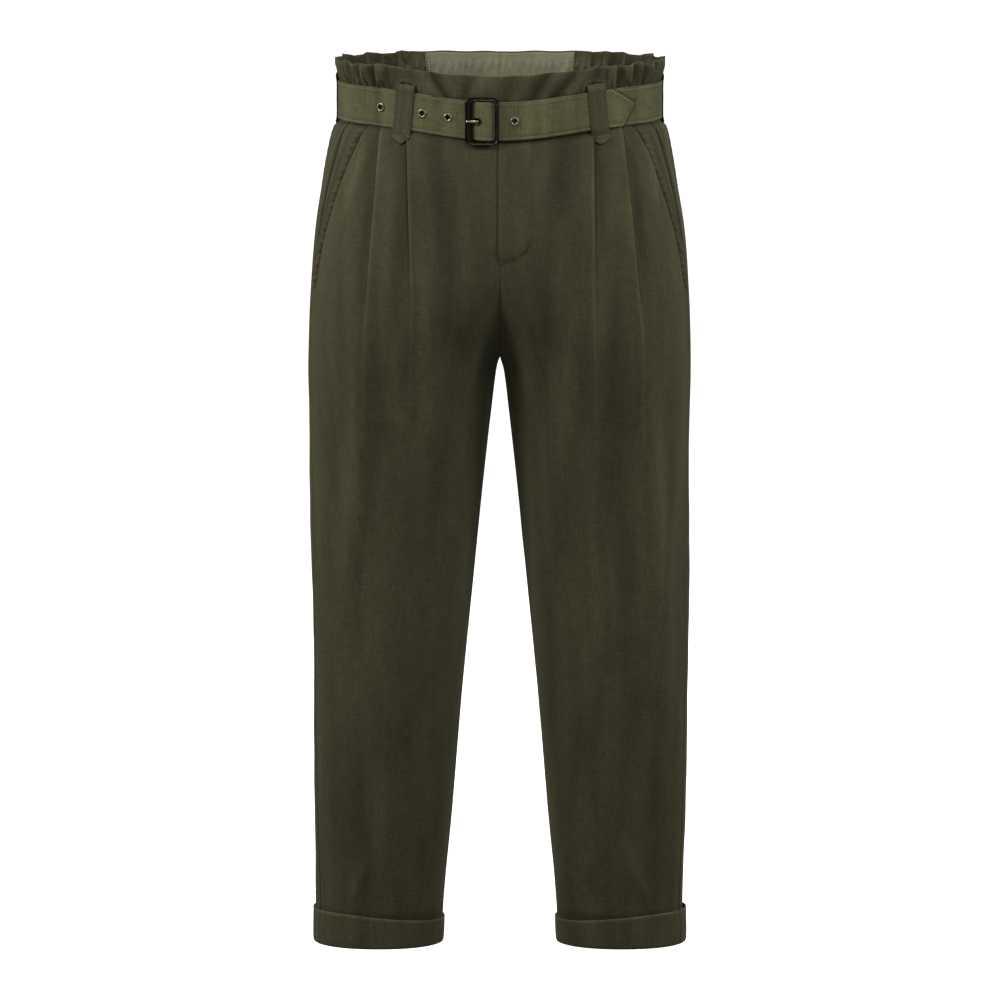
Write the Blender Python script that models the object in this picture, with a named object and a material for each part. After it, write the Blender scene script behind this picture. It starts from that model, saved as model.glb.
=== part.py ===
"""Paperbag waist trousers with a webbing belt, filled out as if worn, with no wearer.

Frame: metres, +Z up.  The front faces -Y, and +X is the wearer's left side ("right" in the
names, as seen from the front).  The origin is the middle of the belt ring, where a waist
holds the garment up.  Sizes are in millimetres here, and MM turns them into metres when a
mesh is made.

Every cloth piece is a closed wall.  Its outer face comes from level sections of the garment
(LEVELS), moved in or out by its pleats, gathers and folds.
"""

import math
from functools import lru_cache

import bmesh
import bpy
import numpy as np

MM = 0.001

# ---------------------------------------------------------------- driving sizes (mm)
CLOTH = 1.5            # wall of the trouser cloth
FACING = 1.0           # wall of the lighter inner facings
WEBBING = 1.6          # wall of the belt and of its loops
SEAM = 0.3             # gap left between two pieces at a seam
UNDER = 0.6            # gap under a piece that lies on another

SQUARENESS = 2.15      # exponent of the sections: 2 is an ellipse, more is squarer
CROTCH = -274.3        # height where the two legs part
HEM = -904.0           # height of the turned hem
BELT_HIGH = 40.0       # width of the belt webbing
BELT_OUT = 1.0         # from the waist cloth to the inner face of the belt
DIP = 12.1             # how far the waist drops at the centre front
DIP_REACH = 143.0      # half width over which it drops

LEVEL_COLUMNS = ("height", "outer", "inner", "front", "back", "seam")
# outer and inner: the leg's edges across X, with inner past the middle above the crotch.
# front and back: depths.  seam: how far the side seam sits forward of the side, in degrees.
LEVELS = (
    (0.0, 167.5, -167.5, 110.0, 106.0, 21.0),
    (-21.0, 167.6, -159.0, 110.0, 106.2, 20.0),
    (-29.0, 173.0, -154.5, 112.2, 112.0, 19.5),
    (-54.0, 179.6, -139.0, 116.0, 120.0, 18.0),
    (-97.0, 188.3, -110.5, 121.0, 131.0, 16.0),
    (-139.0, 194.8, -81.0, 124.0, 137.0, 15.0),
    (-181.0, 198.2, -52.0, 124.0, 138.0, 14.0),
    (-224.0, 200.4, -26.0, 120.0, 132.0, 13.0),
    (-252.0, 201.3, -10.9, 114.5, 125.0, 12.5),
    (CROTCH, 201.7, 0.3, 109.0, 118.0, 12.0),
    (-279.5, 201.8, 2.2, 107.8, 116.5, 12.0),
    (-288.0, 201.8, 4.2, 105.9, 114.1, 12.0),
    (-331.0, 201.0, 9.5, 97.0, 103.0, 13.0),
    (-417.0, 200.3, 19.0, 86.0, 88.0, 15.0),
    (-524.0, 199.6, 29.7, 74.0, 75.0, 16.0),
    (-632.0, 199.1, 40.4, 66.0, 67.0, 18.0),
    (-763.0, 198.4, 51.3, 57.0, 58.0, 22.0),
    (-865.0, 197.0, 60.7, 50.0, 51.0, 26.0),
    (HEM, 196.8, 62.5, 48.5, 49.5, 27.0),
)

PLEAT_COLUMNS = ("side", "top_x", "low_x", "low_z", "hem_x", "step")
# A pleat runs from under the belt to low_z, where its fold has opened out.  Its line goes on
# to the hem only as a row of mesh points.  step: how far its folded edge stands proud.
PLEATS = (
    (-1, 96.6, 92.6, -196.0, 121.0, 2.0),
    (-1, 124.5, 141.0, -224.0, 158.0, 2.4),
    (1, 97.0, 98.6, -188.0, 123.0, 2.2),
    (1, 126.5, 148.6, -232.0, 160.0, 2.4),
)
PLEAT_TOP = -20.0      # the pleats start behind the belt's lower edge
PLEAT_ROLL = 15.0      # length over which a pleat's upper layer rises to its edge
PLEAT_LIP = 1.3        # half the width of the step at its edge

FOLD_COLUMNS = ("side", "face", "top_x", "top_z", "low_x", "low_z", "width", "height")
# The largest soft folds: ridges are positive, troughs negative.
FOLDS = (
    (-1, "front", 136.0, -55.0, 152.0, -130.0, 9.0, 1.2),
    (-1, "front", 141.0, -215.0, 162.0, -560.0, 17.0, 1.8),
    (-1, "front", 72.0, -215.0, 72.0, -400.0, 13.0, 1.4),
    (-1, "front", 40.0, -235.0, 45.0, -420.0, 10.0, -1.8),
    (1, "front", 144.0, -45.0, 160.0, -125.0, 9.0, 1.2),
    (1, "front", 150.0, -225.0, 168.0, -680.0, 17.0, 2.0),
    (1, "front", 76.0, -215.0, 71.0, -430.0, 12.0, 1.4),
    (1, "front", 46.0, -225.0, 41.0, -400.0, 10.0, -2.0),
    (-1, "back", 120.0, -60.0, 138.0, -330.0, 20.0, 1.8),
    (-1, "back", 60.0, -230.0, 92.0, -520.0, 18.0, -2.0),
    (1, "back", 112.0, -70.0, 132.0, -360.0, 20.0, 1.8),
    (1, "back", 66.0, -240.0, 88.0, -480.0, 18.0, -2.0),
)

MOUTH_COLUMNS = ("height", "ahead")
# The slant pocket mouth: how far its edge lies ahead of the side seam, along the cloth.
MOUTH = ((0.0, 27.0), (-43.0, 24.5), (-79.0, 20.0), (-128.0, 12.0), (-165.0, 5.0), (-196.0, 0.0))
MOUTH_UNDERLAP = 13.0  # how far the pocket bearer goes in behind the mouth

FLY_SHARE = 0.37       # width of the fly, to its J stitching, as a share of the way to the pleat
FLY_LONG = 178.0       # from the waist to the bottom of the J
FLY_CURVE = 34.0       # height over which the J turns in

HEADER_FRONT = 46.6    # height of the paperbag header over the ring line: front, side, back
HEADER_SIDE = 43.5
HEADER_BACK = 38.5
HEADER_FLARE = 4.0     # how far its top edge leans out
RUFFLE = 3.6           # height of the largest gathers at its top edge
FACING_HALF = 80.0     # half the width of the light facing inside the centre back

CUFF_HIGH = 32.5       # the turned-up cuff
CUFF_SLOPE = 3.2       # how much taller it is at the outside of the leg, shorter inside
CUFF_OUT = 0.9         # from the leg to the cuff's inner face
CUFF_INSIDE = 14.0     # how far its inner layer goes up inside the leg

LOOP_WIDE = 20.0       # belt loops
LOOP_TOP = 27.0
LOOP_FOOT = -33.0
LOOP_LEAN = 2.6        # how far the front loops' tops lean in towards the buckle

BUCKLE_X = -18.4       # middle of the buckle frame
BUCKLE_WIDE = 35.0
BUCKLE_HIGH = 49.5
BUCKLE_DEEP = 3.0
BUCKLE_BARS = {"left": 8.0, "right": 4.2, "rail": 3.8}
BUCKLE_CORNER = 7.0
BAR_X = -17.5          # the centre bar that the strap is fixed to
BAR_RADIUS = 1.3
EYELET_RIM = 4.4       # eyelets: radii of the rim, the hole and the barrel
EYELET_HOLE = 2.2
EYELET_BARREL = 3.0

SIDES = {"left": -1, "right": 1}
DENSE = 240            # points in one worked-out section

# ---------------------------------------------------------------- materials

FINISHES = {
    # name: (red, green, blue, metallic, roughness)
    "main_cloth": (0.052, 0.049, 0.029, 0.0, 0.85),
    "belt_cloth": (0.088, 0.087, 0.045, 0.0, 0.90),
    "facing_cloth": (0.165, 0.160, 0.105, 0.0, 0.90),
    "buckle_metal": (0.030, 0.026, 0.018, 1.0, 0.35),
    "eyelet_metal": (0.420, 0.400, 0.340, 1.0, 0.30),
}


def make_material(name):
    red, green, blue, metallic, roughness = FINISHES[name]
    material = bpy.data.materials.new(name)
    material.use_nodes = True
    shader = material.node_tree.nodes["Principled BSDF"]
    shader.inputs["Base Color"].default_value = (red, green, blue, 1.0)
    shader.inputs["Metallic"].default_value = metallic
    shader.inputs["Roughness"].default_value = roughness
    material.diffuse_color = (red, green, blue, 1.0)
    return material


# ---------------------------------------------------------------- curves through tables

def smooth_step(low, high, value):
    """0 below low, 1 above high, and a soft S between them."""
    t = np.clip((value - low) / (high - low), 0.0, 1.0)
    return t * t * (3.0 - 2.0 * t)


def curve(places, values, at):
    """A smooth curve through a table that never overshoots its rows."""
    steps = np.diff(places)
    slopes = np.diff(values) / steps
    tangents = np.concatenate(([slopes[0]], np.zeros(len(slopes) - 1), [slopes[-1]]))
    for i in range(1, len(slopes)):
        if slopes[i - 1] * slopes[i] > 0:
            tangents[i] = 2.0 / (1.0 / slopes[i - 1] + 1.0 / slopes[i])
    i = int(np.clip(np.searchsorted(places, at) - 1, 0, len(steps) - 1))
    t = float(np.clip((at - places[i]) / steps[i], 0.0, 1.0))
    return ((1 + 2 * t) * (1 - t) ** 2 * values[i] + t * t * (3 - 2 * t) * values[i + 1]
            + steps[i] * (t * (1 - t) ** 2 * tangents[i] - t * t * (1 - t) * tangents[i + 1]))


def read_table(rows, columns, name):
    """One column of a table, from its lowest height up, with those heights."""
    table = np.array(rows)[::-1]
    return table[:, columns.index("height")], table[:, columns.index(name)]


def level(name, height):
    return curve(*read_table(LEVELS, LEVEL_COLUMNS, name), height)


# ---------------------------------------------------------------- sections of the garment

def signed_power(value, power):
    return np.sign(value) * np.abs(value) ** power


class Section:
    """Half a level section, from the centre front or inseam round the side to the back.

    Above the crotch each leg's outline is cut at the middle, and filled straight across
    between the legs, less and less towards the crotch.
    """

    def __init__(self, height):
        outer = level("outer", height)
        inner = level("inner", height)
        centre = (outer + inner) / 2
        half = (outer - inner) / 2
        turn = 2.0 / SQUARENESS
        start = math.acos(np.clip(signed_power((centre - SEAM / 2) / half, 1 / turn), -1, 1))
        drop = height / CROTCH
        front_fill = 1.0 - smooth_step(0.42, 1.0, drop)
        back_fill = 1.0 - smooth_step(0.18, 1.0, drop)

        angle = np.linspace(start, math.pi, DENSE)
        x = centre - half * signed_power(np.cos(angle), turn)
        bulge = np.abs(np.sin(angle)) ** turn
        between = angle < math.pi / 2
        front = np.where(between, front_fill + (1 - front_fill) * bulge, bulge)
        back = np.where(between, back_fill + (1 - back_fill) * bulge, bulge)
        x[-1] = outer
        front[-1] = back[-1] = 0.0
        self.x = np.concatenate((x, x[-2::-1]))
        self.y = np.concatenate((-level("front", height) * front,
                                 level("back", height) * back[-2::-1]))
        steps = np.hypot(np.diff(self.x), np.diff(self.y))
        self.arc = np.concatenate(([0.0], np.cumsum(steps)))
        self.length = self.arc[-1]
        # Below the crotch the front and back meet at the inseam, half a seam gap each.
        self.inset = SEAM / 2 if start == 0.0 else 0.0
        ahead = math.cos(math.radians(level("seam", height))) ** turn
        self.seam = float(np.interp(centre + half * ahead, x, self.arc[:DENSE]))

    def at(self, arc):
        """The point at an arc length, and the outward direction there."""
        x = np.interp(arc, self.arc, self.x)
        y = np.interp(arc, self.arc, self.y)
        ahead_x = np.interp(arc + 1.5, self.arc, self.x) - np.interp(arc - 1.5, self.arc, self.x)
        ahead_y = np.interp(arc + 1.5, self.arc, self.y) - np.interp(arc - 1.5, self.arc, self.y)
        long = math.hypot(ahead_x, ahead_y)
        return x, y, ahead_y / long, -ahead_x / long

    def front_arc(self, x):
        """The arc length at a place across the front."""
        return float(np.interp(x, self.x[:DENSE], self.arc[:DENSE]))

    def back_arc(self, x):
        """The arc length at a place across the back."""
        return float(np.interp(-x, -self.x[DENSE - 1:], self.arc[DENSE - 1:]))


@lru_cache(maxsize=None)
def section(height):
    return Section(height)


def dip(x, y, height):
    """How far the waist drops at the front, fading out down the hips."""
    reach = min(abs(x) / DIP_REACH, 1.0)
    front = smooth_step(0.0, -60.0, y)
    return -DIP * front * math.cos(math.pi / 2 * reach) ** 2 * smooth_step(-115.0, -25.0, height)


def waist_point(arc, out, height):
    """A point by the waist ring: arc length from the centre front, positive towards +X."""
    ring = section(0.0)
    whole = 2 * ring.length
    arc = (arc + whole / 2) % whole - whole / 2
    side = 1.0 if arc >= 0 else -1.0
    x, y, out_x, out_y = ring.at(abs(arc))
    return np.array((side * (x + out * out_x), y + out * out_y, height + dip(x, y, height)))


def waist_arc(x):
    """Arc length of a place across the front of the waist ring."""
    return math.copysign(section(0.0).front_arc(abs(x)), x)


# ---------------------------------------------------------------- relief of the cloth

def pleat_line(row, height):
    """Where a pleat's edge lies across X at a height, and how far its fold still stands."""
    pleat = dict(zip(PLEAT_COLUMNS, row))
    across = np.interp(height, (HEM, pleat["low_z"], PLEAT_TOP),
                       (pleat["hem_x"], pleat["low_x"], pleat["top_x"]))
    fade = smooth_step(pleat["low_z"], pleat["low_z"] * 0.45, height)
    return float(across), pleat["step"] * float(fade)


def side_pleats(side):
    return [row for row in PLEATS if row[0] == side]


def pleat_relief(side, x, height):
    """Each pleat's upper layer rises to its edge, then steps down towards the side."""
    total = 0.0
    for row in side_pleats(side):
        line, step = pleat_line(row, height)
        past = x - line
        if past < 0:
            total += step * math.exp(past / PLEAT_ROLL)
        else:
            total -= 0.3 * step * math.exp(-past / PLEAT_ROLL)
    return total


def fold_relief(side, face, x, height):
    """Soft ridges and troughs along slanted lines, tapering out at both ends."""
    total = 0.0
    for row in FOLDS:
        fold = dict(zip(FOLD_COLUMNS, row))
        if fold["side"] != side or fold["face"] != face:
            continue
        along = (fold["top_z"] - height) / (fold["top_z"] - fold["low_z"])
        if 0.0 < along < 1.0:
            line = fold["top_x"] + along * (fold["low_x"] - fold["top_x"])
            swell = math.sin(math.pi * along) ** 0.8
            total += fold["height"] * swell * math.exp(-((x - line) / fold["width"]) ** 2)
    return total


def gather_relief(face, arc, height):
    """Gathers held in by the belt, strongest at the back where the waist is elastic."""
    reach, deep = (150.0, 1.6) if face == "back" else (70.0, 0.0)
    fade = smooth_step(-reach, -30.0, height)
    wave = math.sin(arc / 5.1) + 0.5 * math.sin(arc / 3.3 + 1.0)
    return deep * fade * wave


def relief(side, face, arc, x, height):
    """How far the cloth stands off its section: nothing where the belt holds it flat."""
    free = smooth_step(-21.0, -31.0, height)
    if face == "front":
        return free * (pleat_relief(side, x, height) + fold_relief(side, face, x, height))
    return free * (gather_relief(face, arc, height) + fold_relief(side, face, x, height))


def leg_point(side, face, height, arc, inward=0.0):
    """A point on a leg's outer face, or inward of it, at a height and arc length."""
    here = section(height)
    x, y, out_x, out_y = here.at(arc)
    out = relief(side, face, arc, x, height) - inward
    # The relief dies out at the centre seam so that both halves still meet.
    middle = smooth_step(0.0, 12.0, x) if height > CROTCH else 1.0
    out = out * middle - inward * (1.0 - middle)
    return np.array((side * (x + out * out_x), y + out * out_y, height + dip(x, y, height)))


# ---------------------------------------------------------------- meshes

def new_object(name, mesh, slot):
    item = bpy.data.objects.new(name, mesh)
    bpy.context.scene.collection.objects.link(item)
    if slot:
        mesh.materials.append(bpy.data.materials[slot])
    return item


def closed_mesh(name, points, faces, slot):
    """A closed body from points in millimetres, with its faces turned outward."""
    mesh = bpy.data.meshes.new(name)
    mesh.from_pydata([tuple(p * MM for p in point) for point in points], [], faces)
    shape = bmesh.new()
    shape.from_mesh(mesh)
    bmesh.ops.recalc_face_normals(shape, faces=shape.faces)
    shape.to_mesh(mesh)
    shape.free()
    mesh.shade_smooth()
    mesh.set_sharp_from_angle(angle=math.radians(40))
    return new_object(name, mesh, slot)


def wall(name, outer, inner, slot, around=False):
    """A closed wall between two grids of points, joined at its rims."""
    rows = len(outer)
    columns = len(outer[0])
    points = [point for grid in (outer, inner) for row in grid for point in row]
    back = rows * columns

    def corner(row, column, layer=0):
        return layer * back + row * columns + column % columns

    faces = []
    last = columns if around else columns - 1
    for row in range(rows - 1):
        for column in range(last):
            quad = [corner(row, column), corner(row, column + 1),
                    corner(row + 1, column + 1), corner(row + 1, column)]
            faces.append(quad)
            faces.append([index + back for index in reversed(quad)])
    for column in range(last):
        for row in (0, rows - 1):
            faces.append([corner(row, column), corner(row, column + 1),
                          corner(row, column + 1, 1), corner(row, column, 1)])
    if not around:
        for row in range(rows - 1):
            for column in (0, columns - 1):
                faces.append([corner(row, column), corner(row + 1, column),
                              corner(row + 1, column, 1), corner(row, column, 1)])
    return closed_mesh(name, points, faces, slot)


def ribbon(name, sections, slot):
    """A closed body through a row of four-cornered sections, capped at both ends."""
    points = [point for corners in sections for point in corners]
    faces = [[0, 1, 2, 3], [len(points) - 4 + i for i in range(4)]]
    for i in range(len(sections) - 1):
        for side in range(4):
            a = 4 * i + side
            b = 4 * i + (side + 1) % 4
            faces.append([a, b, b + 4, a + 4])
    return closed_mesh(name, points, faces, slot)


def cut(item, cutter):
    """Cut one body away from another, and keep the cutter out of the model."""
    cutter.hide_render = True
    cutter.display_type = "WIRE"
    modifier = item.modifiers.new("cut", "BOOLEAN")
    modifier.operation = "DIFFERENCE"
    modifier.object = cutter


# ---------------------------------------------------------------- trouser legs

def row_heights(face):
    """Levels of mesh points: close together at the crotch, where the seam turns under."""
    waist = [-SEAM / 2, -21.0, -31.0, -44.0, -62.0, -86.0, -115.0, -145.0, -175.0, -205.0]
    turn = [CROTCH + 42.0 * (1.0 - step / 5.0) ** 1.6 for step in range(6)]
    leg = [-279.5, -292.0, -331.0, -390.0, -460.0, -545.0, -632.0, -715.0, -790.0, -864.0,
           HEM + 4.0]
    if face == "back":
        leg.remove(-390.0)
    return waist + turn + leg


def mouth_ahead(height):
    """How far the pocket mouth lies ahead of the side seam at a height."""
    return max(0.0, curve(*read_table(MOUTH, MOUTH_COLUMNS, "ahead"), height))


def spread(start, end, count):
    """Even places from start up to, but not at, end."""
    return [start + (end - start) * i / count for i in range(count)]


def front_arcs(side, height):
    """Places of the front's mesh columns, lined up with its fly, pleats and pocket mouth."""
    here = section(height)
    (inner_x, _), (outer_x, _) = [pleat_line(row, height) for row in side_pleats(side)]
    inner = here.front_arc(inner_x)
    outer = here.front_arc(outer_x)
    edge = here.seam - mouth_ahead(height) - SEAM / 2
    under = edge - MOUTH_UNDERLAP
    fly = here.inset + (inner - here.inset) * FLY_SHARE
    arcs = spread(here.inset, fly, 2) + spread(fly, inner - PLEAT_LIP, 2)
    arcs += [inner - PLEAT_LIP] + spread(inner + PLEAT_LIP, outer - PLEAT_LIP, 2)
    arcs += [outer - PLEAT_LIP] + spread(outer + PLEAT_LIP, under, 2)
    return arcs + [under, edge]


def back_arcs(height):
    here = section(height)
    start = here.seam + SEAM / 2
    return spread(start, here.length - here.inset, 10) + [here.length - here.inset]


def make_leg(side_name, face):
    side = SIDES[side_name]
    outer, inner = [], []
    for height in row_heights(face):
        arcs = front_arcs(side, height) if face == "front" else back_arcs(height)
        outer.append([leg_point(side, face, height, arc) for arc in arcs])
        inner.append([leg_point(side, face, height, arc, CLOTH) for arc in arcs])
    return wall(f"{face}_{side_name}", outer, inner, "main_cloth")


def make_pocket(side_name):
    """The bearer behind the slant mouth: under the front, then out to the side seam."""
    side = SIDES[side_name]
    outer, inner = [], []
    for height in [h for h in row_heights("front") if h >= MOUTH[-1][0] + 20.0]:
        here = section(height)
        edge = here.seam - mouth_ahead(height) - SEAM / 2
        seam = here.seam - SEAM / 2
        places = [(edge - MOUTH_UNDERLAP + 1.0, 1.0), (edge, 1.0),
                  ((edge + seam) / 2, 0.75), (seam, 0.35)]
        sunk = CLOTH + UNDER
        outer.append([leg_point(side, "front", height, arc, sunk * k) for arc, k in places])
        inner.append([leg_point(side, "front", height, arc, sunk * k + CLOTH)
                      for arc, k in places])
    return wall(f"pocket_{side_name}", outer, inner, "main_cloth")


def make_fly_facing():
    """A J-shaped facing behind the right front, from the waist to below the fly's stitches."""
    bottom = -FLY_LONG
    rows = [height for height in row_heights("front") if height > bottom + FLY_CURVE]
    rows += [bottom + FLY_CURVE * share for share in (0.75, 0.45, 0.2, 0.04)]
    outer, inner = [], []
    for height in rows:
        low = max(0.0, (bottom + FLY_CURVE - height) / FLY_CURVE)
        share = math.sqrt(1.0 - low * low)
        _, middle, edge = front_arcs(1, height)[:3]
        arcs = (0.4, 0.4 + (middle - 0.4) * share, 0.4 + (edge - 0.4) * share)
        sunk = CLOTH + 2 * UNDER + SEAM
        outer.append([leg_point(1, "front", height, arc, sunk) for arc in arcs])
        inner.append([leg_point(1, "front", height, arc, sunk + FACING) for arc in arcs])
    return wall("fly_facing", outer, inner, "main_cloth")


# ---------------------------------------------------------------- header, facings

def header_height(arc):
    """Height of the header's top edge over the ring line, round the waist."""
    ring = section(0.0)
    places = (0.0, ring.seam * 0.55, ring.seam, ring.length)
    heights = (HEADER_FRONT, HEADER_SIDE + 0.6, HEADER_SIDE, HEADER_BACK)
    return float(np.interp(abs(arc), places, heights))


def ruffle_share(arc):
    """How gathered the header is: smooth at the centre front and over the back facing."""
    ring = section(0.0)
    reach = abs(arc)
    front = smooth_step(88.0, 125.0, reach)
    back = smooth_step(FACING_HALF + 4.0, FACING_HALF + 30.0, ring.length - reach)
    return 0.12 + 0.88 * front * back


def header_out(arc, height):
    """How far the header stands off the ring: pinched at the belt, flared and ruffled above."""
    rise = smooth_step(BELT_HIGH / 2 - 2.0, header_height(arc), height)
    wave = math.sin(arc / 3.1 + 0.9 * math.sin(arc / 19.0))
    flare = HEADER_FLARE * (0.35 + 0.65 * ruffle_share(arc))
    return rise * (flare + RUFFLE * ruffle_share(arc) * wave)


def header_grid(start, end, wave_step, sunk):
    """Rows from behind the belt to the top edge, with columns close where it ruffles."""
    arcs = [start]
    while arcs[-1] < end:
        coarse = 1.0 - ruffle_share(arcs[-1])
        arcs.append(arcs[-1] + wave_step * (1.0 + 2.0 * coarse))
    scale = (end - start) / (arcs[-1] - start)
    arcs = [start + (arc - start) * scale for arc in arcs]
    grid = []
    for share in (0.0, 0.45, 0.7, 1.0):
        row = []
        for arc in arcs:
            height = SEAM / 2 + (header_height(arc) - SEAM / 2) * share
            row.append(waist_point(arc, header_out(arc, height) - sunk, height))
        grid.append(row)
    return grid


def make_header(name, start, end):
    wave_step = 5.2
    outer = header_grid(start, end, wave_step, 0.0)
    inner = header_grid(start, end, wave_step, CLOTH)
    return wall(name, outer, inner, "main_cloth")


def make_headers():
    ring = section(0.0)
    make_header("header_front_left", -ring.seam + SEAM / 2, -SEAM / 2)
    make_header("header_front_right", SEAM / 2, ring.seam - SEAM / 2)
    make_header("header_back", ring.seam + SEAM / 2, 2 * ring.length - ring.seam - SEAM / 2)


def make_lining_strip(name, start, end, low, high, columns, slot):
    """A strip inside the header, just clear of it."""
    outer, inner = [], []
    for height in (low, (low + high) / 2, high):
        arcs = [start + (end - start) * i / columns for i in range(columns + 1)]
        sunk = [CLOTH + UNDER - min(0.0, header_out(arc, height)) - 0.15 * smooth_step(
            20.0, 38.0, height) for arc in arcs]
        outer.append([waist_point(arc, -s, height) for arc, s in zip(arcs, sunk)])
        inner.append([waist_point(arc, -s - FACING, height) for arc, s in zip(arcs, sunk)])
    return wall(name, outer, inner, slot)


def make_linings():
    ring = section(0.0)
    middle = ring.length
    make_lining_strip("back_facing", middle - FACING_HALF, middle + FACING_HALF, 1.0,
                      HEADER_BACK - 1.2, 12, "facing_cloth")
    gap = SEAM + 1.0
    make_lining_strip("casing_right", ring.seam + 1.0, middle - FACING_HALF - gap, 1.0, 25.0,
                      12, "main_cloth")
    make_lining_strip("casing_left", middle + FACING_HALF + gap, 2 * middle - ring.seam - 1.0,
                      1.0, 25.0, 12, "main_cloth")


# ---------------------------------------------------------------- cuffs

def cuff_arcs(side, height):
    """Places round the leg near the hem, each on one of the leg's own mesh columns."""
    here = section(height)
    front = front_arcs(side, height)
    front = [front[i] for i in (1, 2, 3, 4, 6, 7, 9, 10)]
    return [0.0] + front + [here.seam] + back_arcs(height)[1:-1]


def cuff_point(side, arc, height, out):
    """A point round the hem, out from the leg's surface."""
    x, y, out_x, out_y = section(height).at(arc)
    if arc == 0.0:
        out_x, out_y = -1.0, 0.0
    return np.array((side * (x + out * out_x), y + out * out_y, height))


def make_cuff(side_name):
    """A turned-up band: outer wall, fold at the hem, and an inner layer inside the leg."""
    side = SIDES[side_name]
    outside = CUFF_OUT + CLOTH
    inside = -CUFF_OUT - CLOTH
    rings = [[] for _ in range(10)]
    for i, arc in enumerate(cuff_arcs(side, HEM)):
        slope = CUFF_SLOPE * math.cos(math.pi * arc / section(HEM).seam)
        top = HEM + CUFF_HIGH - slope
        outline = (
            (top, CUFF_OUT), (top, outside), (HEM + 1.5, outside), (HEM, CUFF_OUT),
            (HEM, inside), (HEM + 1.5, inside - CLOTH), (HEM + CUFF_INSIDE, inside - CLOTH),
            (HEM + CUFF_INSIDE, inside), (HEM + 2.2, inside), (HEM + 2.2, CUFF_OUT),
        )
        for ring, (height, out) in zip(rings, outline):
            ring.append(cuff_point(side, cuff_arcs(side, height)[i], height, out))
    points = [point for ring in rings for point in ring]
    count = len(rings[0])
    faces = []
    for lower in range(len(rings)):
        upper = (lower + 1) % len(rings)
        for i in range(count):
            j = (i + 1) % count
            faces.append([lower * count + i, lower * count + j,
                          upper * count + j, upper * count + i])
    return closed_mesh(f"cuff_{side_name}", points, faces, "main_cloth")


# ---------------------------------------------------------------- belt

BELT_ROUTE_COLUMNS = ("x", "out")
# Middle line of the strap near the buckle: place across the front, and distance out from
# the waist cloth.  It starts in front of the centre bar, turns round it and goes right.
BAR_OUT = BELT_OUT + WEBBING + SEAM + BAR_RADIUS
STRAP_TURN = BAR_RADIUS + SEAM + WEBBING / 2
UNDER_LAYER = BELT_OUT + WEBBING / 2
OVER_LAYER = UNDER_LAYER + WEBBING + SEAM
OVER_BAR = BAR_OUT + BAR_RADIUS + 2 * WEBBING + 2 * SEAM - WEBBING / 2
FRAME_OUT = OVER_LAYER + WEBBING / 2 + 0.6 + BUCKLE_DEEP / 2
BEHIND_BUCKLE = (
    (-68.0, UNDER_LAYER), (-60.0, 1.95), (-47.0, 2.3), (-40.0, 2.75),
    (-34.0, OVER_LAYER - 0.2), (-29.6, OVER_LAYER), (-27.6, 4.15),
    (-19.0, OVER_BAR), (-14.2, OVER_BAR), (-10.8, 7.2), (-7.6, 5.1), (-4.4, OVER_LAYER + 0.1),
    (0.0, OVER_LAYER),
)
TIP_TOP_X = 114.0      # where the pointed tip's upper and lower corners start, and its point
TIP_LOW_X = 125.5
TIP_X = 136.5
EYELETS_X = (-122.4, -80.0, -53.6, -22.4, 14.9)
BUCKLE_EYELET = 3      # the eyelet that the prong goes through
PRONG_ROOM = 1.5       # how much longer that eyelet's hole is, along the strap


def bar_turn():
    """The fixed end of the strap, turned round the centre bar."""
    route = [(BAR_X + 2.2, BAR_OUT + STRAP_TURN)]
    for step in range(7):
        turn = math.pi / 2 + math.pi * step / 6
        route.append((BAR_X + STRAP_TURN * math.cos(turn), BAR_OUT + STRAP_TURN * math.sin(turn)))
    return route


def belt_route():
    """The strap's middle line as (arc, out) places, from its fixed end round to its tip."""
    whole = 2 * section(0.0).length
    route = [(waist_arc(x), out) for x, out in bar_turn()]
    start = route[-1][0]
    end = waist_arc(BEHIND_BUCKLE[0][0]) + whole
    turns = 58
    for step in range(1, turns):
        route.append((start + (end - start) * step / turns, UNDER_LAYER))
    route += [(waist_arc(x) + whole, out) for x, out in BEHIND_BUCKLE]
    over = (12.0, 26.0, 40.0, 54.0, 68.0, 82.0, 94.0, 104.0, TIP_TOP_X, TIP_LOW_X, TIP_X)
    route += [(waist_arc(x) + whole, OVER_LAYER) for x in over]
    return route


def strap_edges(arc):
    """Heights of the strap's lower and upper edges, drawn in to a point at its tip."""
    whole = 2 * section(0.0).length
    point = 2.0
    top = np.interp(arc - whole, (waist_arc(TIP_TOP_X), waist_arc(TIP_X)),
                    (BELT_HIGH / 2, point + 1.5))
    low = np.interp(arc - whole, (waist_arc(TIP_LOW_X), waist_arc(TIP_X)),
                    (-BELT_HIGH / 2, point - 1.5))
    return float(low), float(top)


def strap_frame(route, i):
    """Middle of the strap at a place on its route, with its direction out of its face."""
    before = route[max(i - 1, 0)]
    after = route[min(i + 1, len(route) - 1)]
    along = np.array((after[0] - before[0], after[1] - before[1]))
    along /= np.linalg.norm(along)
    return route[i], np.array((-along[1], along[0]))


def make_belt():
    route = belt_route()
    sections = []
    for i, (arc, _) in enumerate(route):
        (arc, out), face = strap_frame(route, i)
        low, top = strap_edges(arc)
        half = WEBBING / 2
        corners = []
        for height, way in ((low, -1), (low, 1), (top, 1), (top, -1)):
            corners.append(waist_point(arc + way * half * face[0], out + way * half * face[1],
                                       height))
        sections.append(corners)
    belt = ribbon("belt", sections, "belt_cloth")
    cut(belt, make_prong_slot())
    for number, x in enumerate(EYELETS_X):
        room = PRONG_ROOM if number == BUCKLE_EYELET else 0.0
        cut(belt, make_hole(f"hole_{number + 1}", x, room))
    return belt


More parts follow.
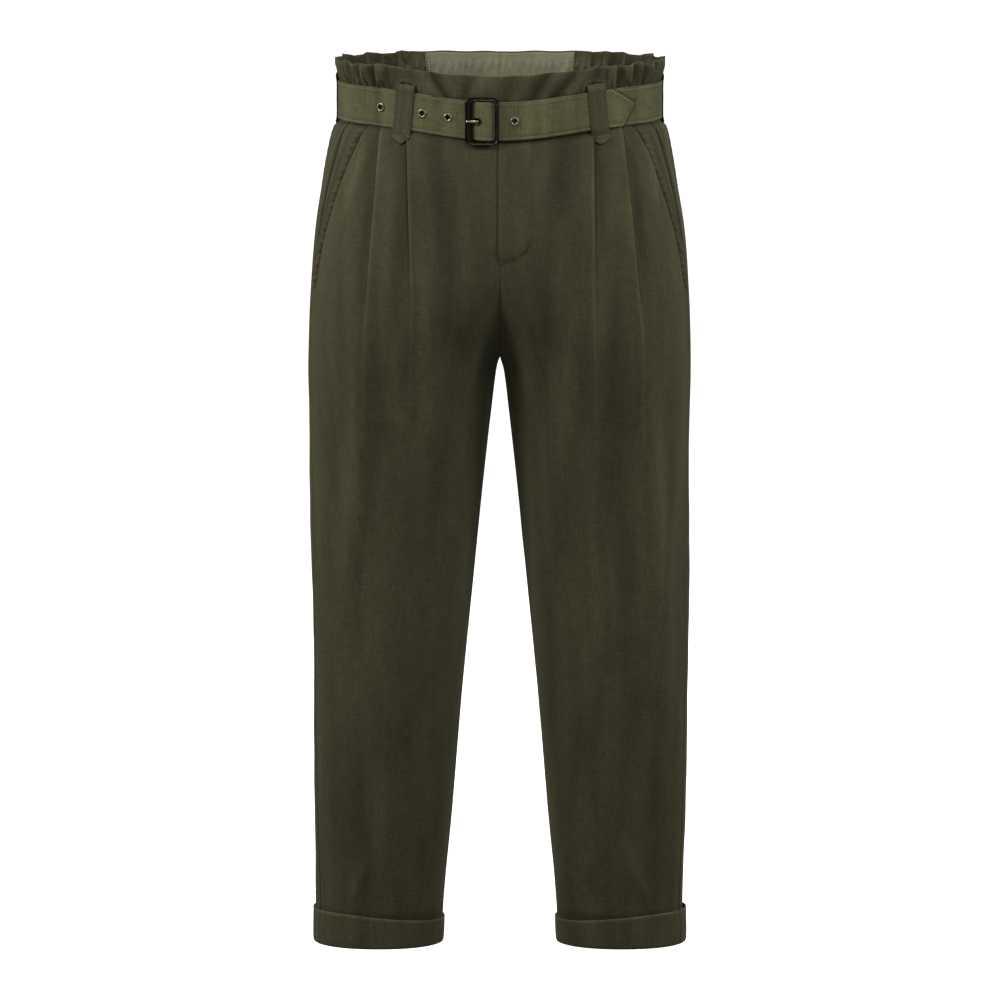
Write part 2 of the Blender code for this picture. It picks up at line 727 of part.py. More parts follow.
def strap_out(x):
    """Distance out of the strap's outer layer at a place across the front."""
    places, outs = zip(*BEHIND_BUCKLE)
    return float(np.interp(x, places, outs))


def eyelet_frame(x):
    """Place of an eyelet on the strap, the way its face looks, and the way along the strap."""
    slope = math.atan2(strap_out(x + 1.0) - strap_out(x - 1.0), 2.0)
    arc = waist_arc(x)
    middle = waist_point(arc, strap_out(x), 0.0)
    ahead = waist_point(arc + 1.0, strap_out(x), 0.0) - waist_point(arc - 1.0, strap_out(x), 0.0)
    ahead[2] = 0.0
    ahead /= np.linalg.norm(ahead)
    outward = np.array((ahead[1], -ahead[0], 0.0))
    facing = outward * math.cos(slope) - ahead * math.sin(slope)
    along = ahead * math.cos(slope) + outward * math.sin(slope)
    return middle, facing, along


def eyelet_points(x, outline, room, count=12):
    """Rings about an eyelet's axis from (radius, out) points, longer by room at the hole."""
    middle, facing, along = eyelet_frame(x)
    upright = np.cross(facing, along)
    points = []
    for radius, out in outline:
        long = radius + room * (EYELET_RIM - radius) / (EYELET_RIM - EYELET_HOLE)
        for i in range(count):
            turn = 2 * math.pi * i / count
            points.append(middle + facing * out + along * long * math.cos(turn)
                          + upright * radius * math.sin(turn))
    return points


def make_eyelet(name, x, outline, room, count=12):
    """A rolled rim with its barrel, turned about the hole's axis."""
    points = eyelet_points(x, outline, room, count)
    faces = []
    rows = len(outline)
    for row in range(rows):
        after = (row + 1) % rows
        for i in range(count):
            j = (i + 1) % count
            faces.append([row * count + i, row * count + j, after * count + j, after * count + i])
    return closed_mesh(name, points, faces, "eyelet_metal")


def make_hole(name, x, room):
    """A cutter for one eyelet hole in the strap's outer layer."""
    radius = EYELET_BARREL + SEAM
    reach = WEBBING / 2 + (0.15 if x > BEHIND_BUCKLE[-1][0] else 0.5)
    points = eyelet_points(x, ((radius, -reach), (radius, reach)), room * 1.4)
    faces = [list(range(12)), list(range(12, 24))]
    faces += [[i, (i + 1) % 12, (i + 1) % 12 + 12, i + 12] for i in range(12)]
    return closed_mesh(name, points, faces, None)


def block(name, low, high, slot):
    """A plain box between two corners given as (x, out, height) by the buckle."""
    corners = [(x, out, height) for x in (low[0], high[0]) for out in (low[1], high[1])
               for height in (low[2], high[2])]
    faces = [[0, 1, 3, 2], [4, 5, 7, 6], [0, 1, 5, 4], [2, 3, 7, 6], [0, 2, 6, 4], [1, 3, 7, 5]]
    return closed_mesh(name, [buckle_point(*corner) for corner in corners], faces, slot)


def make_prong_slot():
    """A cutter for the slot in the strap's turned end, where the prong sits on the bar."""
    return block("prong_slot", (BAR_X - 3.3, BAR_OUT + 0.4, -2.1),
                 (BAR_X + 3.0, BAR_OUT + STRAP_TURN + WEBBING / 2 + 0.13, 2.1), None)


def make_eyelets():
    """Rolled metal rims on the strap's face, each with a barrel through its hole."""
    half = WEBBING / 2
    lift = 0.3
    outline = ((EYELET_HOLE, -half), (EYELET_HOLE, half + lift + 0.5),
               (EYELET_HOLE + 0.5, half + lift + 1.0), (EYELET_RIM - 0.4, half + lift + 0.7),
               (EYELET_RIM, half + lift), (EYELET_BARREL, half + lift), (EYELET_BARREL, -half))
    for number, x in enumerate(EYELETS_X):
        room = PRONG_ROOM if number == BUCKLE_EYELET else 0.0
        make_eyelet(f"eyelet_{number + 1}", x, outline, room)


# ---------------------------------------------------------------- buckle and prong

def buckle_point(x, out, height):
    """A point by the buckle, whose flat frame lies along the strap at its middle."""
    middle = waist_point(waist_arc(BUCKLE_X), 0.0, 0.0)
    ahead = waist_point(waist_arc(BUCKLE_X + 2), 0.0, 0.0)
    ahead -= waist_point(waist_arc(BUCKLE_X - 2), 0.0, 0.0)
    ahead[2] = 0.0
    ahead /= np.linalg.norm(ahead)
    outward = np.array((ahead[1], -ahead[0], 0.0))
    return middle + ahead * (x - BUCKLE_X) + outward * out + np.array((0.0, 0.0, height))


def rounded_outline(low_x, high_x, low_z, high_z, corner, steps=4):
    """A rectangle's outline with round corners, anticlockwise."""
    outline = []
    for quarter, (x, z) in enumerate(((high_x, high_z), (low_x, high_z), (low_x, low_z),
                                      (high_x, low_z))):
        middle_x = x - corner if x == high_x else x + corner
        middle_z = z - corner if z == high_z else z + corner
        for step in range(steps + 1):
            turn = math.pi / 2 * (quarter + step / steps)
            outline.append((middle_x + corner * math.cos(turn), middle_z + corner * math.sin(turn)))
    return outline


def make_buckle():
    """A flat frame with softened edges, and the centre bar that carries strap and prong."""
    low_x = BUCKLE_X - BUCKLE_WIDE / 2
    high_x = BUCKLE_X + BUCKLE_WIDE / 2
    high_z = BUCKLE_HIGH / 2
    rim = rounded_outline(low_x, high_x, -high_z, high_z, BUCKLE_CORNER)
    window = rounded_outline(low_x + BUCKLE_BARS["left"], high_x - BUCKLE_BARS["right"],
                             -high_z + BUCKLE_BARS["rail"], high_z - BUCKLE_BARS["rail"], 0.8)
    half = BUCKLE_DEEP / 2
    soft = 0.8
    centre = np.array((BUCKLE_X, 0.0))
    rings = []
    for outline, out, shrink in ((window, -half, 0.0), (window, half - soft, 0.0),
                                 (window, half, -soft), (rim, half, soft),
                                 (rim, half - soft, 0.0), (rim, -half, 0.0)):
        ring = []
        for x, z in outline:
            towards = np.sign(np.array((x, z)) - centre) * shrink
            ring.append(buckle_point(x - towards[0], FRAME_OUT + out, z - towards[1]))
        rings.append(ring)
    count = len(rim)
    points = [point for ring in rings for point in ring]
    faces = []
    for row in range(len(rings)):
        after = (row + 1) % len(rings)
        for i in range(count):
            j = (i + 1) % count
            faces.append([row * count + i, row * count + j, after * count + j, after * count + i])
    frame = closed_mesh("buckle", points, faces, "buckle_metal")
    bar = make_centre_bar(high_z - BUCKLE_BARS["rail"] / 2)
    bar.hide_render = True
    bar.display_type = "WIRE"
    union = frame.modifiers.new("bar", "BOOLEAN")
    union.operation = "UNION"
    union.object = bar
    return frame


def make_centre_bar(reach):
    """A round bar behind the window, cranked forward into the frame's rails at its ends."""
    route = ((-reach, FRAME_OUT - 0.2), (-reach + 1.6, BAR_OUT + 0.8), (-reach + 2.6, BAR_OUT),
             (reach - 2.6, BAR_OUT), (reach - 1.6, BAR_OUT + 0.8), (reach, FRAME_OUT - 0.2))
    count = 10
    points = []
    for height, out in route:
        for i in range(count):
            turn = 2 * math.pi * i / count
            points.append(buckle_point(BAR_X + BAR_RADIUS * math.cos(turn),
                                       out + BAR_RADIUS * math.sin(turn), height))
    faces = [list(range(count)), list(range(len(points) - count, len(points)))]
    for row in range(len(route) - 1):
        for i in range(count):
            j = (i + 1) % count
            a = row * count
            faces.append([a + i, a + j, a + count + j, a + count + i])
    return closed_mesh("centre_bar", points, faces, None)


def make_prong():
    """The prong: from the centre bar, out through its eyelet, to rest on the left bar."""
    rest = FRAME_OUT + BUCKLE_DEEP / 2 + SEAM
    thick = 1.5
    bar_top = BAR_OUT + BAR_RADIUS + SEAM
    route = ((BAR_X + 2.2, bar_top), (BAR_X - 2.4, bar_top), (BAR_X - 3.4, bar_top + 0.2),
             (-25.4, rest - 0.1), (-26.6, rest + 0.1), (-31.0, rest), (-34.6, rest))
    sections = []
    for i, (x, out) in enumerate(route):
        half = 1.15 if i < len(route) - 1 else 0.8
        sections.append([buckle_point(x, out, -half), buckle_point(x, out + thick, -half * 0.8),
                         buckle_point(x, out + thick, half * 0.8), buckle_point(x, out, half)])
    return ribbon("prong", sections, "eyelet_metal")


# ---------------------------------------------------------------- belt loops

def surface_out(arc, height):
    """How far the leg's surface stands out from the waist ring, straight out at a place."""
    ring = section(0.0)
    x, y, out_x, out_y = ring.at(abs(arc))
    here = section(height)
    beside = (here.x - x) * -out_y + (here.y - y) * out_x
    ahead = (here.x - x) * out_x + (here.y - y) * out_y
    near = np.where(ahead > -30.0, np.abs(beside), 1e9)
    return float(ahead[int(np.argmin(near))])


def make_loop(name, arc, layers, lean=0.0):
    """A strap of cloth over the belt, with both feet just off the cloth."""
    belt_face = BELT_OUT + layers * (WEBBING + SEAM)
    over = belt_face + 0.3
    across = np.linspace(-LOOP_WIDE / 2, LOOP_WIDE / 2, 9)
    top_out = max(header_out(arc + way, LOOP_TOP + 5.0) for way in across) + UNDER
    low_out = surface_out(arc, LOOP_FOOT) + 2.6 + UNDER
    half_belt = BELT_HIGH / 2
    route = ((LOOP_TOP + 5.0, top_out + 0.3), (half_belt + 4.0, top_out + 0.2),
             (half_belt + 1.2, max(over, top_out)), (half_belt - 3.0, over),
             (-half_belt + 3.0, over), (-half_belt - 1.2, over),
             (-half_belt - 6.0, low_out), (LOOP_FOOT, low_out))
    thick = WEBBING - 0.2
    outer, inner = [], []
    for height, out in route:
        middle = arc + lean * (height / LOOP_TOP)
        columns = [middle + LOOP_WIDE * (i / 4 - 0.5) for i in range(5)]
        outer.append([waist_point(column, out + thick, height) for column in columns])
        inner.append([waist_point(column, out, height) for column in columns])
    return wall(name, outer, inner, "main_cloth")


def make_loops():
    ring = section(0.0)
    side = ring.front_arc(math.inf) + 14.0
    make_loop("loop_front_left", waist_arc(-98.8), 1, lean=LOOP_LEAN)
    make_loop("loop_front_right", waist_arc(100.3), 2, lean=-LOOP_LEAN)
    make_loop("loop_side_left", -side, 1)
    make_loop("loop_side_right", side, 1)
    make_loop("loop_back", ring.length, 1)


# ---------------------------------------------------------------- the whole garment

def build():
    for item in list(bpy.data.objects):
        bpy.data.objects.remove(item)
    for name in FINISHES:
        make_material(name)
    for side_name in SIDES:
        make_leg(side_name, "front")
        make_leg(side_name, "back")
        make_pocket(side_name)
        make_cuff(side_name)
    make_fly_facing()
    make_headers()
    make_linings()
    make_belt()
    make_eyelets()
    make_buckle()
    make_prong()
    make_loops()


build()
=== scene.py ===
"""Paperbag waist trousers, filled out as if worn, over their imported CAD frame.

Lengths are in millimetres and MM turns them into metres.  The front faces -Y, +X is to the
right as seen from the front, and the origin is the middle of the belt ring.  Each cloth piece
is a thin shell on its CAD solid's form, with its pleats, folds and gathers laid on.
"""

import math
from functools import lru_cache

import bpy
import numpy as np
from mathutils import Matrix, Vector


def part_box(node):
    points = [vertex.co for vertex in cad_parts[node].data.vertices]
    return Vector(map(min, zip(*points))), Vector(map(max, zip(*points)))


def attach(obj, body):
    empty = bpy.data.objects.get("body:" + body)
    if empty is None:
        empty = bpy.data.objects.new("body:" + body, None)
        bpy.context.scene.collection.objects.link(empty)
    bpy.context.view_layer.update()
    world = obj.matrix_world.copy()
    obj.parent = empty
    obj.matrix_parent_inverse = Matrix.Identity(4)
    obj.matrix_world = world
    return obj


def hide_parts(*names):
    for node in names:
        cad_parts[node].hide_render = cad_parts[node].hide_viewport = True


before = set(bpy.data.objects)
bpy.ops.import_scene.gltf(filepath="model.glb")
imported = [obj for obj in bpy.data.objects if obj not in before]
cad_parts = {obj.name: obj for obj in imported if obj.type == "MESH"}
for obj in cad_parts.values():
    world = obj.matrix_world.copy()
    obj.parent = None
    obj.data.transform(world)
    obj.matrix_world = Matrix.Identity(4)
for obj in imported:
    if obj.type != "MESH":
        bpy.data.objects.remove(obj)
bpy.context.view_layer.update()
MM = 0.001

# ---------------------------------------------------------------- sizes shared with the CAD
CLOTH = 1.5
WEBBING = 1.6
SEAM = 0.3
SQUARENESS = 2.15
CROTCH = -274.3
HEM = -904.0
BELT_HIGH = 40.0
BELT_OUT = 1.0
DIP = 12.1
DIP_REACH = 143.0

LEVEL_COLUMNS = ("height", "outer", "inner", "front", "back", "seam")
# A leg's edges across X, the depths in front and behind, and where the side seam sits (degrees).
LEVELS = (
    (0, 167.5, -167.5, 110, 106, 21), (-21, 167.6, -159, 110, 106.2, 20),
    (-29, 173, -154.5, 112.2, 112, 19.5), (-54, 179.6, -139, 116, 120, 18),
    (-97, 188.3, -110.5, 121, 131, 16), (-139, 194.8, -81, 124, 137, 15),
    (-181, 198.2, -52, 124, 138, 14), (-224, 200.4, -26, 120, 132, 13),
    (-252, 201.3, -10.9, 114.5, 125, 12.5), (CROTCH, 201.7, 0.3, 109, 118, 12),
    (-279.5, 201.8, 2.2, 107.8, 116.5, 12), (-288, 201.8, 4.2, 105.9, 114.1, 12),
    (-331, 201, 9.5, 97, 103, 13), (-417, 200.3, 19, 86, 88, 15),
    (-524, 199.6, 29.7, 74, 75, 16), (-632, 199.1, 40.4, 66, 67, 18),
    (-763, 198.4, 51.3, 57, 58, 22), (-865, 197, 60.7, 50, 51, 26),
    (HEM, 196.8, 62.5, 48.5, 49.5, 27),
)

# Each side's pleats: x at the top and at the low end, the low end's height, x at the hem, step.
PLEATS = {
    -1: ((96.6, 92.6, -196.0, 121.0, 2.6), (124.5, 141.0, -224.0, 158.0, 2.8)),
    1: ((97.0, 98.6, -188.0, 123.0, 2.7), (126.5, 148.6, -232.0, 160.0, 2.8)),
}
PLEAT_TOP = -20.0
PLEAT_ROLL = 13.0

MOUTH_COLUMNS = ("height", "ahead")
MOUTH = ((0.0, 27.0), (-43.0, 24.5), (-79.0, 20.0), (-128.0, 12.0), (-165.0, 5.0), (-196.0, 0.0))
MOUTH_UNDERLAP = 13.0
FLY_WIDE = 31.5        # the J stitching: how far from the centre, where it turns, where it ends
FLY_TURN = -127.0
FLY_END = -159.0

# Soft ridges by side and face: top x and z, low x and z, width, height (troughs below 0).
FOLD_STRENGTH = 2.3
FOLDS = {
    (-1, "front"): (
        (136, -20, 155, -120, 5.5, 1.7), (128, -24, 146, -190, 5, -0.9),
        (71, 4, 62, -150, 14, -1.6), (84, -20, 80, -110, 7, 1.1), (57, -20, 38, -380, 13, -1.5),
        (78, -150, 71, -400, 11, 2), (100, -200, 104, -330, 9, 1.3),
        (139, -200, 163, -560, 12, 2.6), (122, -230, 138, -520, 14, -1.8),
        (108, -310, 101, -350, 7, 1.1), (22, -190, 60, -330, 9, -0.6),
        (60, -420, 44, -470, 7, 1.3), (128, -690, 127, -840, 9, 1.5),
        (143, -800, 155, -868, 7, 1.4), (99, -800, 90, -868, 7, 1.3),
        (115, -480, 128, -700, 22, 1.2), (88, -560, 92, -800, 17, -1.2),
    ),
    (1, "front"): (
        (144, -16, 164, -118, 5.5, 1.8), (134, -24, 156, -200, 5, -0.9),
        (72, 8, 64, -130, 14, -1.7), (52, -22, 44, -120, 10, 0.9), (60, -40, 37, -400, 12, -1.5),
        (82, -170, 68, -420, 11, 2.2), (102, -195, 108, -300, 9, 1.2),
        (149, -195, 168, -640, 12, 2.8), (126, -250, 140, -560, 14, -1.8),
        (34, -150, 70, -290, 10, -0.6), (100, -470, 96, -700, 20, 1.2),
        (128, -770, 158, -862, 6, 1.6), (96, -810, 104, -868, 8, -1.2),
        (134, -600, 126, -830, 16, -1.1),
    ),
    (-1, "back"): (
        (120, -50, 138, -330, 17, 2), (90, -30, 84, -130, 10, -1.6),
        (40, -210, 110, -330, 11, -2.2), (60, -240, 92, -560, 15, -2.4),
        (96, -300, 118, -640, 15, 2), (150, -260, 160, -620, 13, -1.6),
        (128, -640, 120, -850, 14, 1.6),
    ),
    (1, "back"): (
        (112, -60, 132, -360, 17, 2), (76, -30, 72, -150, 10, -1.6),
        (36, -220, 104, -320, 11, -2.2), (66, -250, 88, -520, 15, -2.4),
        (98, -330, 112, -660, 15, 2), (152, -230, 164, -580, 13, -1.6),
        (136, -660, 130, -850, 14, 1.6),
    ),
}

HEADER_FRONT = 46.6
HEADER_SIDE = 43.5
HEADER_BACK = 38.5
FACING_HALF = 80.0
# Valleys between the header's rolled gathers, round from the centre front, with how far each
# roll between two valleys stands out and how much taller it is.
GATHERS = {
    -1: (118, 136.5, 159, 175, 192, 214, 233, 251, 272, 290, 311, 329, 349),
    1: (112, 128, 147, 163, 180, 199, 221, 240, 260, 279, 301, 321, 346),
}
ROLLS = {
    -1: ((6.4, 1.6), (5.6, 0.6), (4, -0.8), (4.6, 1), (3.6, -0.6), (3.6, 0.6), (5, 0),
         (5, 1), (5.9, -0.8), (5, 0.4), (5.6, -0.5), (4.6, 0.6)),
    1: ((4, 0.8), (6.2, 0), (5, 1.2), (5.8, -0.8), (4.4, 0.8), (4, -0.4), (4, 0.9),
        (5, -0.6), (5, 0.7), (5.8, -0.7), (5, 0.3), (4.6, 0.5)),
}

# Creases in the header's middle: place, lean with height, width and height (troughs below 0).
HEADER_CREASES = (
    (-66.0, -0.75, 4.5, -2.6), (-76.0, -0.6, 6.0, 1.8), (-52.0, -0.6, 7.0, 1.6),
    (-31.0, 0.5, 6.0, -1.6), (-18.0, 0.3, 7.0, 1.2), (9.0, 0.2, 8.0, -1.8), (27.0, 0.5, 7.0, 1.4),
    (43.0, 0.7, 6.0, -2.0), (56.0, 0.6, 6.5, 2.2), (70.0, 0.9, 5.5, -2.6), (86.0, 0.8, 6.0, 1.8),
    (-92.0, -0.3, 5.0, -1.8), (101.0, 0.3, 5.0, -1.6),
)
LOOP_ARCHES = (-96.5, 97.5)

CUFF_HIGH = 32.5
CUFF_SLOPE = 5.4
CUFF_OUT = 0.9
CUFF_INSIDE = 14.0

LOOP_WIDE = 20.0
LOOP_TOP = 27.0
LOOP_FOOT = -27.0
LOOP_LEAN = 2.6

BUCKLE_X = -18.4
BUCKLE_WIDE = 35.0
BUCKLE_HIGH = 49.5
BUCKLE_DEEP = 3.0
BUCKLE_BARS = {"left": 8.0, "right": 4.2, "rail": 3.8}
BUCKLE_CORNER = 7.0
BAR_X = -17.5
BAR_RADIUS = 1.3
EYELET_RIM = 4.4
EYELET_HOLE = 2.75
EYELETS_X = (-122.4, -80.0, -53.6, -22.4, 14.9)
BUCKLE_EYELET = 3
PRONG_ROOM = 1.5
TIP_TOP_X = 114.0
TIP_LOW_X = 125.5
TIP_X = 136.5

BAR_OUT = BELT_OUT + WEBBING + SEAM + BAR_RADIUS
STRAP_TURN = BAR_RADIUS + SEAM + WEBBING / 2
UNDER_LAYER = BELT_OUT + WEBBING / 2
OVER_LAYER = UNDER_LAYER + WEBBING + SEAM
OVER_BAR = BAR_OUT + BAR_RADIUS + 2 * WEBBING + 2 * SEAM - WEBBING / 2
FRAME_OUT = OVER_LAYER + WEBBING / 2 + 0.6 + BUCKLE_DEEP / 2
# The strap's middle line near the buckle: place across the front, and distance out.
BEHIND_BUCKLE = (
    (-68.0, UNDER_LAYER), (-60.0, 1.95), (-47.0, 2.3), (-40.0, 2.75),
    (-34.0, OVER_LAYER - 0.2), (-29.6, OVER_LAYER), (-27.6, 4.15),
    (-19.0, OVER_BAR), (-14.2, OVER_BAR), (-10.8, 7.2), (-7.6, 5.1), (-4.4, OVER_LAYER + 0.1),
    (0.0, OVER_LAYER),
)

SIDES = {"left": -1, "right": 1}
FACE_WAY = {"front": np.array((0.0, -1.0, 0.0)), "back": np.array((0.0, 1.0, 0.0))}
DENSE = 400

# Camera: the view's angle, distance and lens.
VIEW_ELEVATION = 9.3
VIEW_DISTANCE = 7.636
VIEW_TARGET_Z = -0.4274
VIEW_LENS = 259.45


# ---------------------------------------------------------------- curves and sections

def smooth_step(low, high, value):
    t = np.clip((value - low) / (high - low), 0.0, 1.0)
    return t * t * (3.0 - 2.0 * t)


def bell(value, width):
    return np.exp(-(value / width) ** 2)


def curve(places, values, at):
    """A smooth curve through a table that never overshoots its rows."""
    steps = np.diff(places)
    slopes = np.diff(values) / steps
    tangents = np.concatenate(([slopes[0]], np.zeros(len(slopes) - 1), [slopes[-1]]))
    for i in range(1, len(slopes)):
        if slopes[i - 1] * slopes[i] > 0:
            tangents[i] = 2.0 / (1.0 / slopes[i - 1] + 1.0 / slopes[i])
    i = int(np.clip(np.searchsorted(places, at) - 1, 0, len(steps) - 1))
    t = float(np.clip((at - places[i]) / steps[i], 0.0, 1.0))
    return ((1 + 2 * t) * (1 - t) ** 2 * values[i] + t * t * (3 - 2 * t) * values[i + 1]
            + steps[i] * (t * (1 - t) ** 2 * tangents[i] - t * t * (1 - t) * tangents[i + 1]))


def read_table(rows, columns, name):
    table = np.array(rows)[::-1]
    return table[:, columns.index("height")], table[:, columns.index(name)]


def level(name, height):
    """A section's size at a height; the depths are evened out so that no line shows on a leg."""
    table = read_table(LEVELS, LEVEL_COLUMNS, name)
    if name not in ("front", "back") or height > -150.0:
        return curve(*table, height)
    spread = 26.0 * float(smooth_step(-150.0, -215.0, height))
    return sum(curve(*table, height + spread * k / 3) for k in range(-3, 4)) / 7


def signed_power(value, power):
    return np.sign(value) * np.abs(value) ** power


class Section:
    """Half a level section, from the centre front or inseam round the side to the back."""

    def __init__(self, height):
        outer = level("outer", height)
        inner = level("inner", height)
        centre = (outer + inner) / 2
        half = (outer - inner) / 2
        turn = 2.0 / SQUARENESS
        start = math.acos(np.clip(signed_power((centre - SEAM / 2) / half, 1 / turn), -1, 1))
        drop = height / CROTCH
        front_fill = 1.0 - smooth_step(0.42, 1.0, drop)
        back_fill = 1.0 - smooth_step(0.18, 1.0, drop)
        angle = np.linspace(start, math.pi, DENSE)
        x = centre - half * signed_power(np.cos(angle), turn)
        x = self.eased(x, outer, np.cos(angle), turn, height)
        bulge = np.abs(np.sin(angle)) ** turn
        between = angle < math.pi / 2
        front = np.where(between, front_fill + (1 - front_fill) * bulge, bulge)
        back = np.where(between, back_fill + (1 - back_fill) * bulge, bulge)
        x[-1] = outer
        front[-1] = back[-1] = 0.0
        self.x = np.concatenate((x, x[-2::-1]))
        self.y = np.concatenate((-level("front", height) * front,
                                 level("back", height) * back[-2::-1]))
        steps = np.hypot(np.diff(self.x), np.diff(self.y))
        self.arc = np.concatenate(([0.0], np.cumsum(steps)))
        self.length = self.arc[-1]
        ahead = math.cos(math.radians(level("seam", height))) ** turn
        self.seam = float(np.interp(centre + half * ahead, x, self.arc[:DENSE]))

    @staticmethod
    def eased(x, outer, across, turn, height):
        """Near the crotch only the inseam turns sharply; the rest of the section eases by."""
        near = float(smooth_step(-190.0, -230.0, height) * smooth_step(-380.0, -320.0, height))
        if near == 0.0:
            return x
        soft = sum(level("inner", height + 10.0 * k) for k in range(-3, 4)) / 7
        moved = (outer + soft) / 2 - (outer - soft) / 2 * signed_power(across, turn)
        return x + near * (moved - x) * smooth_step(0.0, 70.0, x - x[0])

    def at(self, arc):
        """Points at arc lengths, and the outward direction there."""
        x = np.interp(arc, self.arc, self.x)
        y = np.interp(arc, self.arc, self.y)
        ahead_x = np.interp(arc + 1.5, self.arc, self.x) - np.interp(arc - 1.5, self.arc, self.x)
        ahead_y = np.interp(arc + 1.5, self.arc, self.y) - np.interp(arc - 1.5, self.arc, self.y)
        long = np.hypot(ahead_x, ahead_y)
        return x, y, ahead_y / long, -ahead_x / long

    def front_arc(self, x):
        return float(np.interp(x, self.x[:DENSE], self.arc[:DENSE]))


@lru_cache(maxsize=None)
def section(height):
    return Section(height)


RING = section(0.0)


def dip(x, y, height):
    """How far the waist drops at the front."""
    reach = np.minimum(np.abs(x) / DIP_REACH, 1.0)
    front = smooth_step(0.0, -60.0, y)
    return -DIP * front * np.cos(math.pi / 2 * reach) ** 2 * smooth_step(-115.0, -25.0, height)


def waist_points(arc, out, height):
    """Points by the waist ring: arc length from the centre front, positive towards +X."""
    arc, out, height = np.broadcast_arrays(np.asarray(arc, float), out, height)
    whole = 2 * RING.length
    arc = (arc + whole / 2) % whole - whole / 2
    side = np.where(arc >= 0, 1.0, -1.0)
    x, y, out_x, out_y = RING.at(np.abs(arc))
    return np.stack((side * (x + out * out_x), y + out * out_y, height + dip(x, y, height)), -1)


def off_section(side, here, arc, out, height):
    """Points standing out from half a level section."""
    x, y, out_x, out_y = here.at(arc)
    return np.stack((side * (x + out * out_x), y + out * out_y, height + dip(x, y, height)), -1)


def flat_row(across, along):
    """Places on the flat cloth."""
    return np.stack(np.broadcast_arrays(np.asarray(across, float), along), -1)


def rounded(heights, digits=3):
    return [float(round(height, digits)) for height in heights]


def unit(ways):
    """Directions made one long."""
    return ways / np.maximum(np.linalg.norm(ways, axis=-1, keepdims=True), 1e-9)


def waist_arc(x):
    return math.copysign(RING.front_arc(abs(x)), x)


# ---------------------------------------------------------------- relief of the legs

def pleat_line(pleat, height):
    """Where a pleat's edge lies across X at a height, and how far its fold still stands."""
    top_x, low_x, low_z, hem_x, step = pleat
    across = np.interp(height, (HEM, low_z, PLEAT_TOP), (hem_x, low_x, top_x))
    fade = smooth_step(low_z - 12.0, low_z * 0.5, height)
    return float(across), step * float(fade)


def pleat_relief(side, x, height):
    """Each upper layer rises to a rounded edge, then drops to a lower layer behind it."""
    total = np.zeros_like(x)
    for pleat in PLEATS[side]:
        line, step = pleat_line(pleat, height)
        past = x - line
        upper = 1.25 * step * np.exp(np.minimum(past, 0.0) / PLEAT_ROLL)
        upper = upper - 0.5 * step * bell(past, 0.7)
        lower = -0.5 * step * np.exp(-np.maximum(past, 0.0) / PLEAT_ROLL)
        lower = lower - 0.5 * step * bell(past - 0.9, 1.3)
        total += np.where(past <= 0.0, upper, lower)
        # Past its end the pleat goes on as a soft crease.
        low = pleat[2]
        tail = smooth_step(low - 150.0, low, height) * smooth_step(-40.0, -150.0, height)
        total += 1.4 * tail * bell(past + 3.0, 5.0)
    return total


def fold_relief(side, face, x, height):
    total = np.zeros_like(x)
    for top_x, top_z, low_x, low_z, width, high in FOLDS[side, face]:
        along = (top_z - height) / (top_z - low_z)
        if 0.0 < along < 1.0:
            line = top_x + along * (low_x - top_x) + 2.0 * math.sin(along * 5.0 + top_x)
            swell = math.sin(math.pi * along) ** 1.25
            total += FOLD_STRENGTH * high * swell * bell(x - line, width)
    return total


def drape(side, face, x, height):
    """Slow unevenness of cloth that hangs, stronger down the leg."""
    shift = {(-1, "front"): 0.0, (1, "front"): 2.1, (-1, "back"): 4.0, (1, "back"): 5.3}[side, face]
    loose = 0.35 + 0.65 * smooth_step(-150.0, -420.0, height)
    wave = 0.55 * np.sin(x / 10.5 + height / 130.0 + shift)
    wave += 0.4 * np.sin(x / 6.3 - height / 75.0 + 2.3 * shift)
    wave += 0.3 * np.sin(x / 21.0 + height / 38.0 + shift)
    wave += 0.12 * np.sin(x / 8.0 + height / 11.0 + 3.0 * shift) * np.sin(height / 47.0 + shift)
    return 1.5 * loose * wave


def mouth_ahead(height):
    return max(0.0, curve(*read_table(MOUTH, MOUTH_COLUMNS, "ahead"), height))


def mouth_inside(here, height, arc):
    """How far inside the front's outer edge a place is."""
    return here.seam - mouth_ahead(height) - SEAM / 2 - arc


def mouth_band(inside):
    """The pressed band between the two rows of stitching at a pocket mouth."""
    return smooth_step(0.0, 1.5, inside) * smooth_step(9.0, 7.0, inside)


def seam_relief(inside, height, puckered):
    """A sewn edge: rolled under at the seam, a ridge of allowance beside it, and puckers."""
    total = -1.1 * bell(inside, 1.0) + 0.75 * bell(inside - 3.0, 2.2)
    if puckered:
        total += mouth_band(inside) * (0.6 + 0.95 * math.sin(height / 1.25)
                                       + 0.5 * math.sin(height / 3.1))
        total -= 1.1 * bell(inside - 8.6, 1.0)
    return total


def belt_gathers(face, arc, height):
    """Small gathers let out under the belt."""
    if face == "back":
        fade = smooth_step(-130.0, -24.0, height)
        return fade * (1.3 * np.sin(arc / 4.6) + 0.7 * np.sin(arc / 2.9 + 1.0))
    fade = smooth_step(-64.0, -24.0, height)
    return fade * 0.35 * np.sin(arc / 5.4 + 0.6 * np.sin(arc / 13.0))


def fly_share(height):
    """How much of the fly's lap there is at a height."""
    return float(smooth_step(FLY_END - 4.0, FLY_END + 10.0, height))


def fly_outline(height):
    """How far down the J's turn a height is, and how far from the centre its stitching lies."""
    low = max(0.0, (FLY_TURN - height) / (FLY_TURN - FLY_END))
    return low, FLY_WIDE * math.sqrt(max(0.0, 1.0 - low * low))


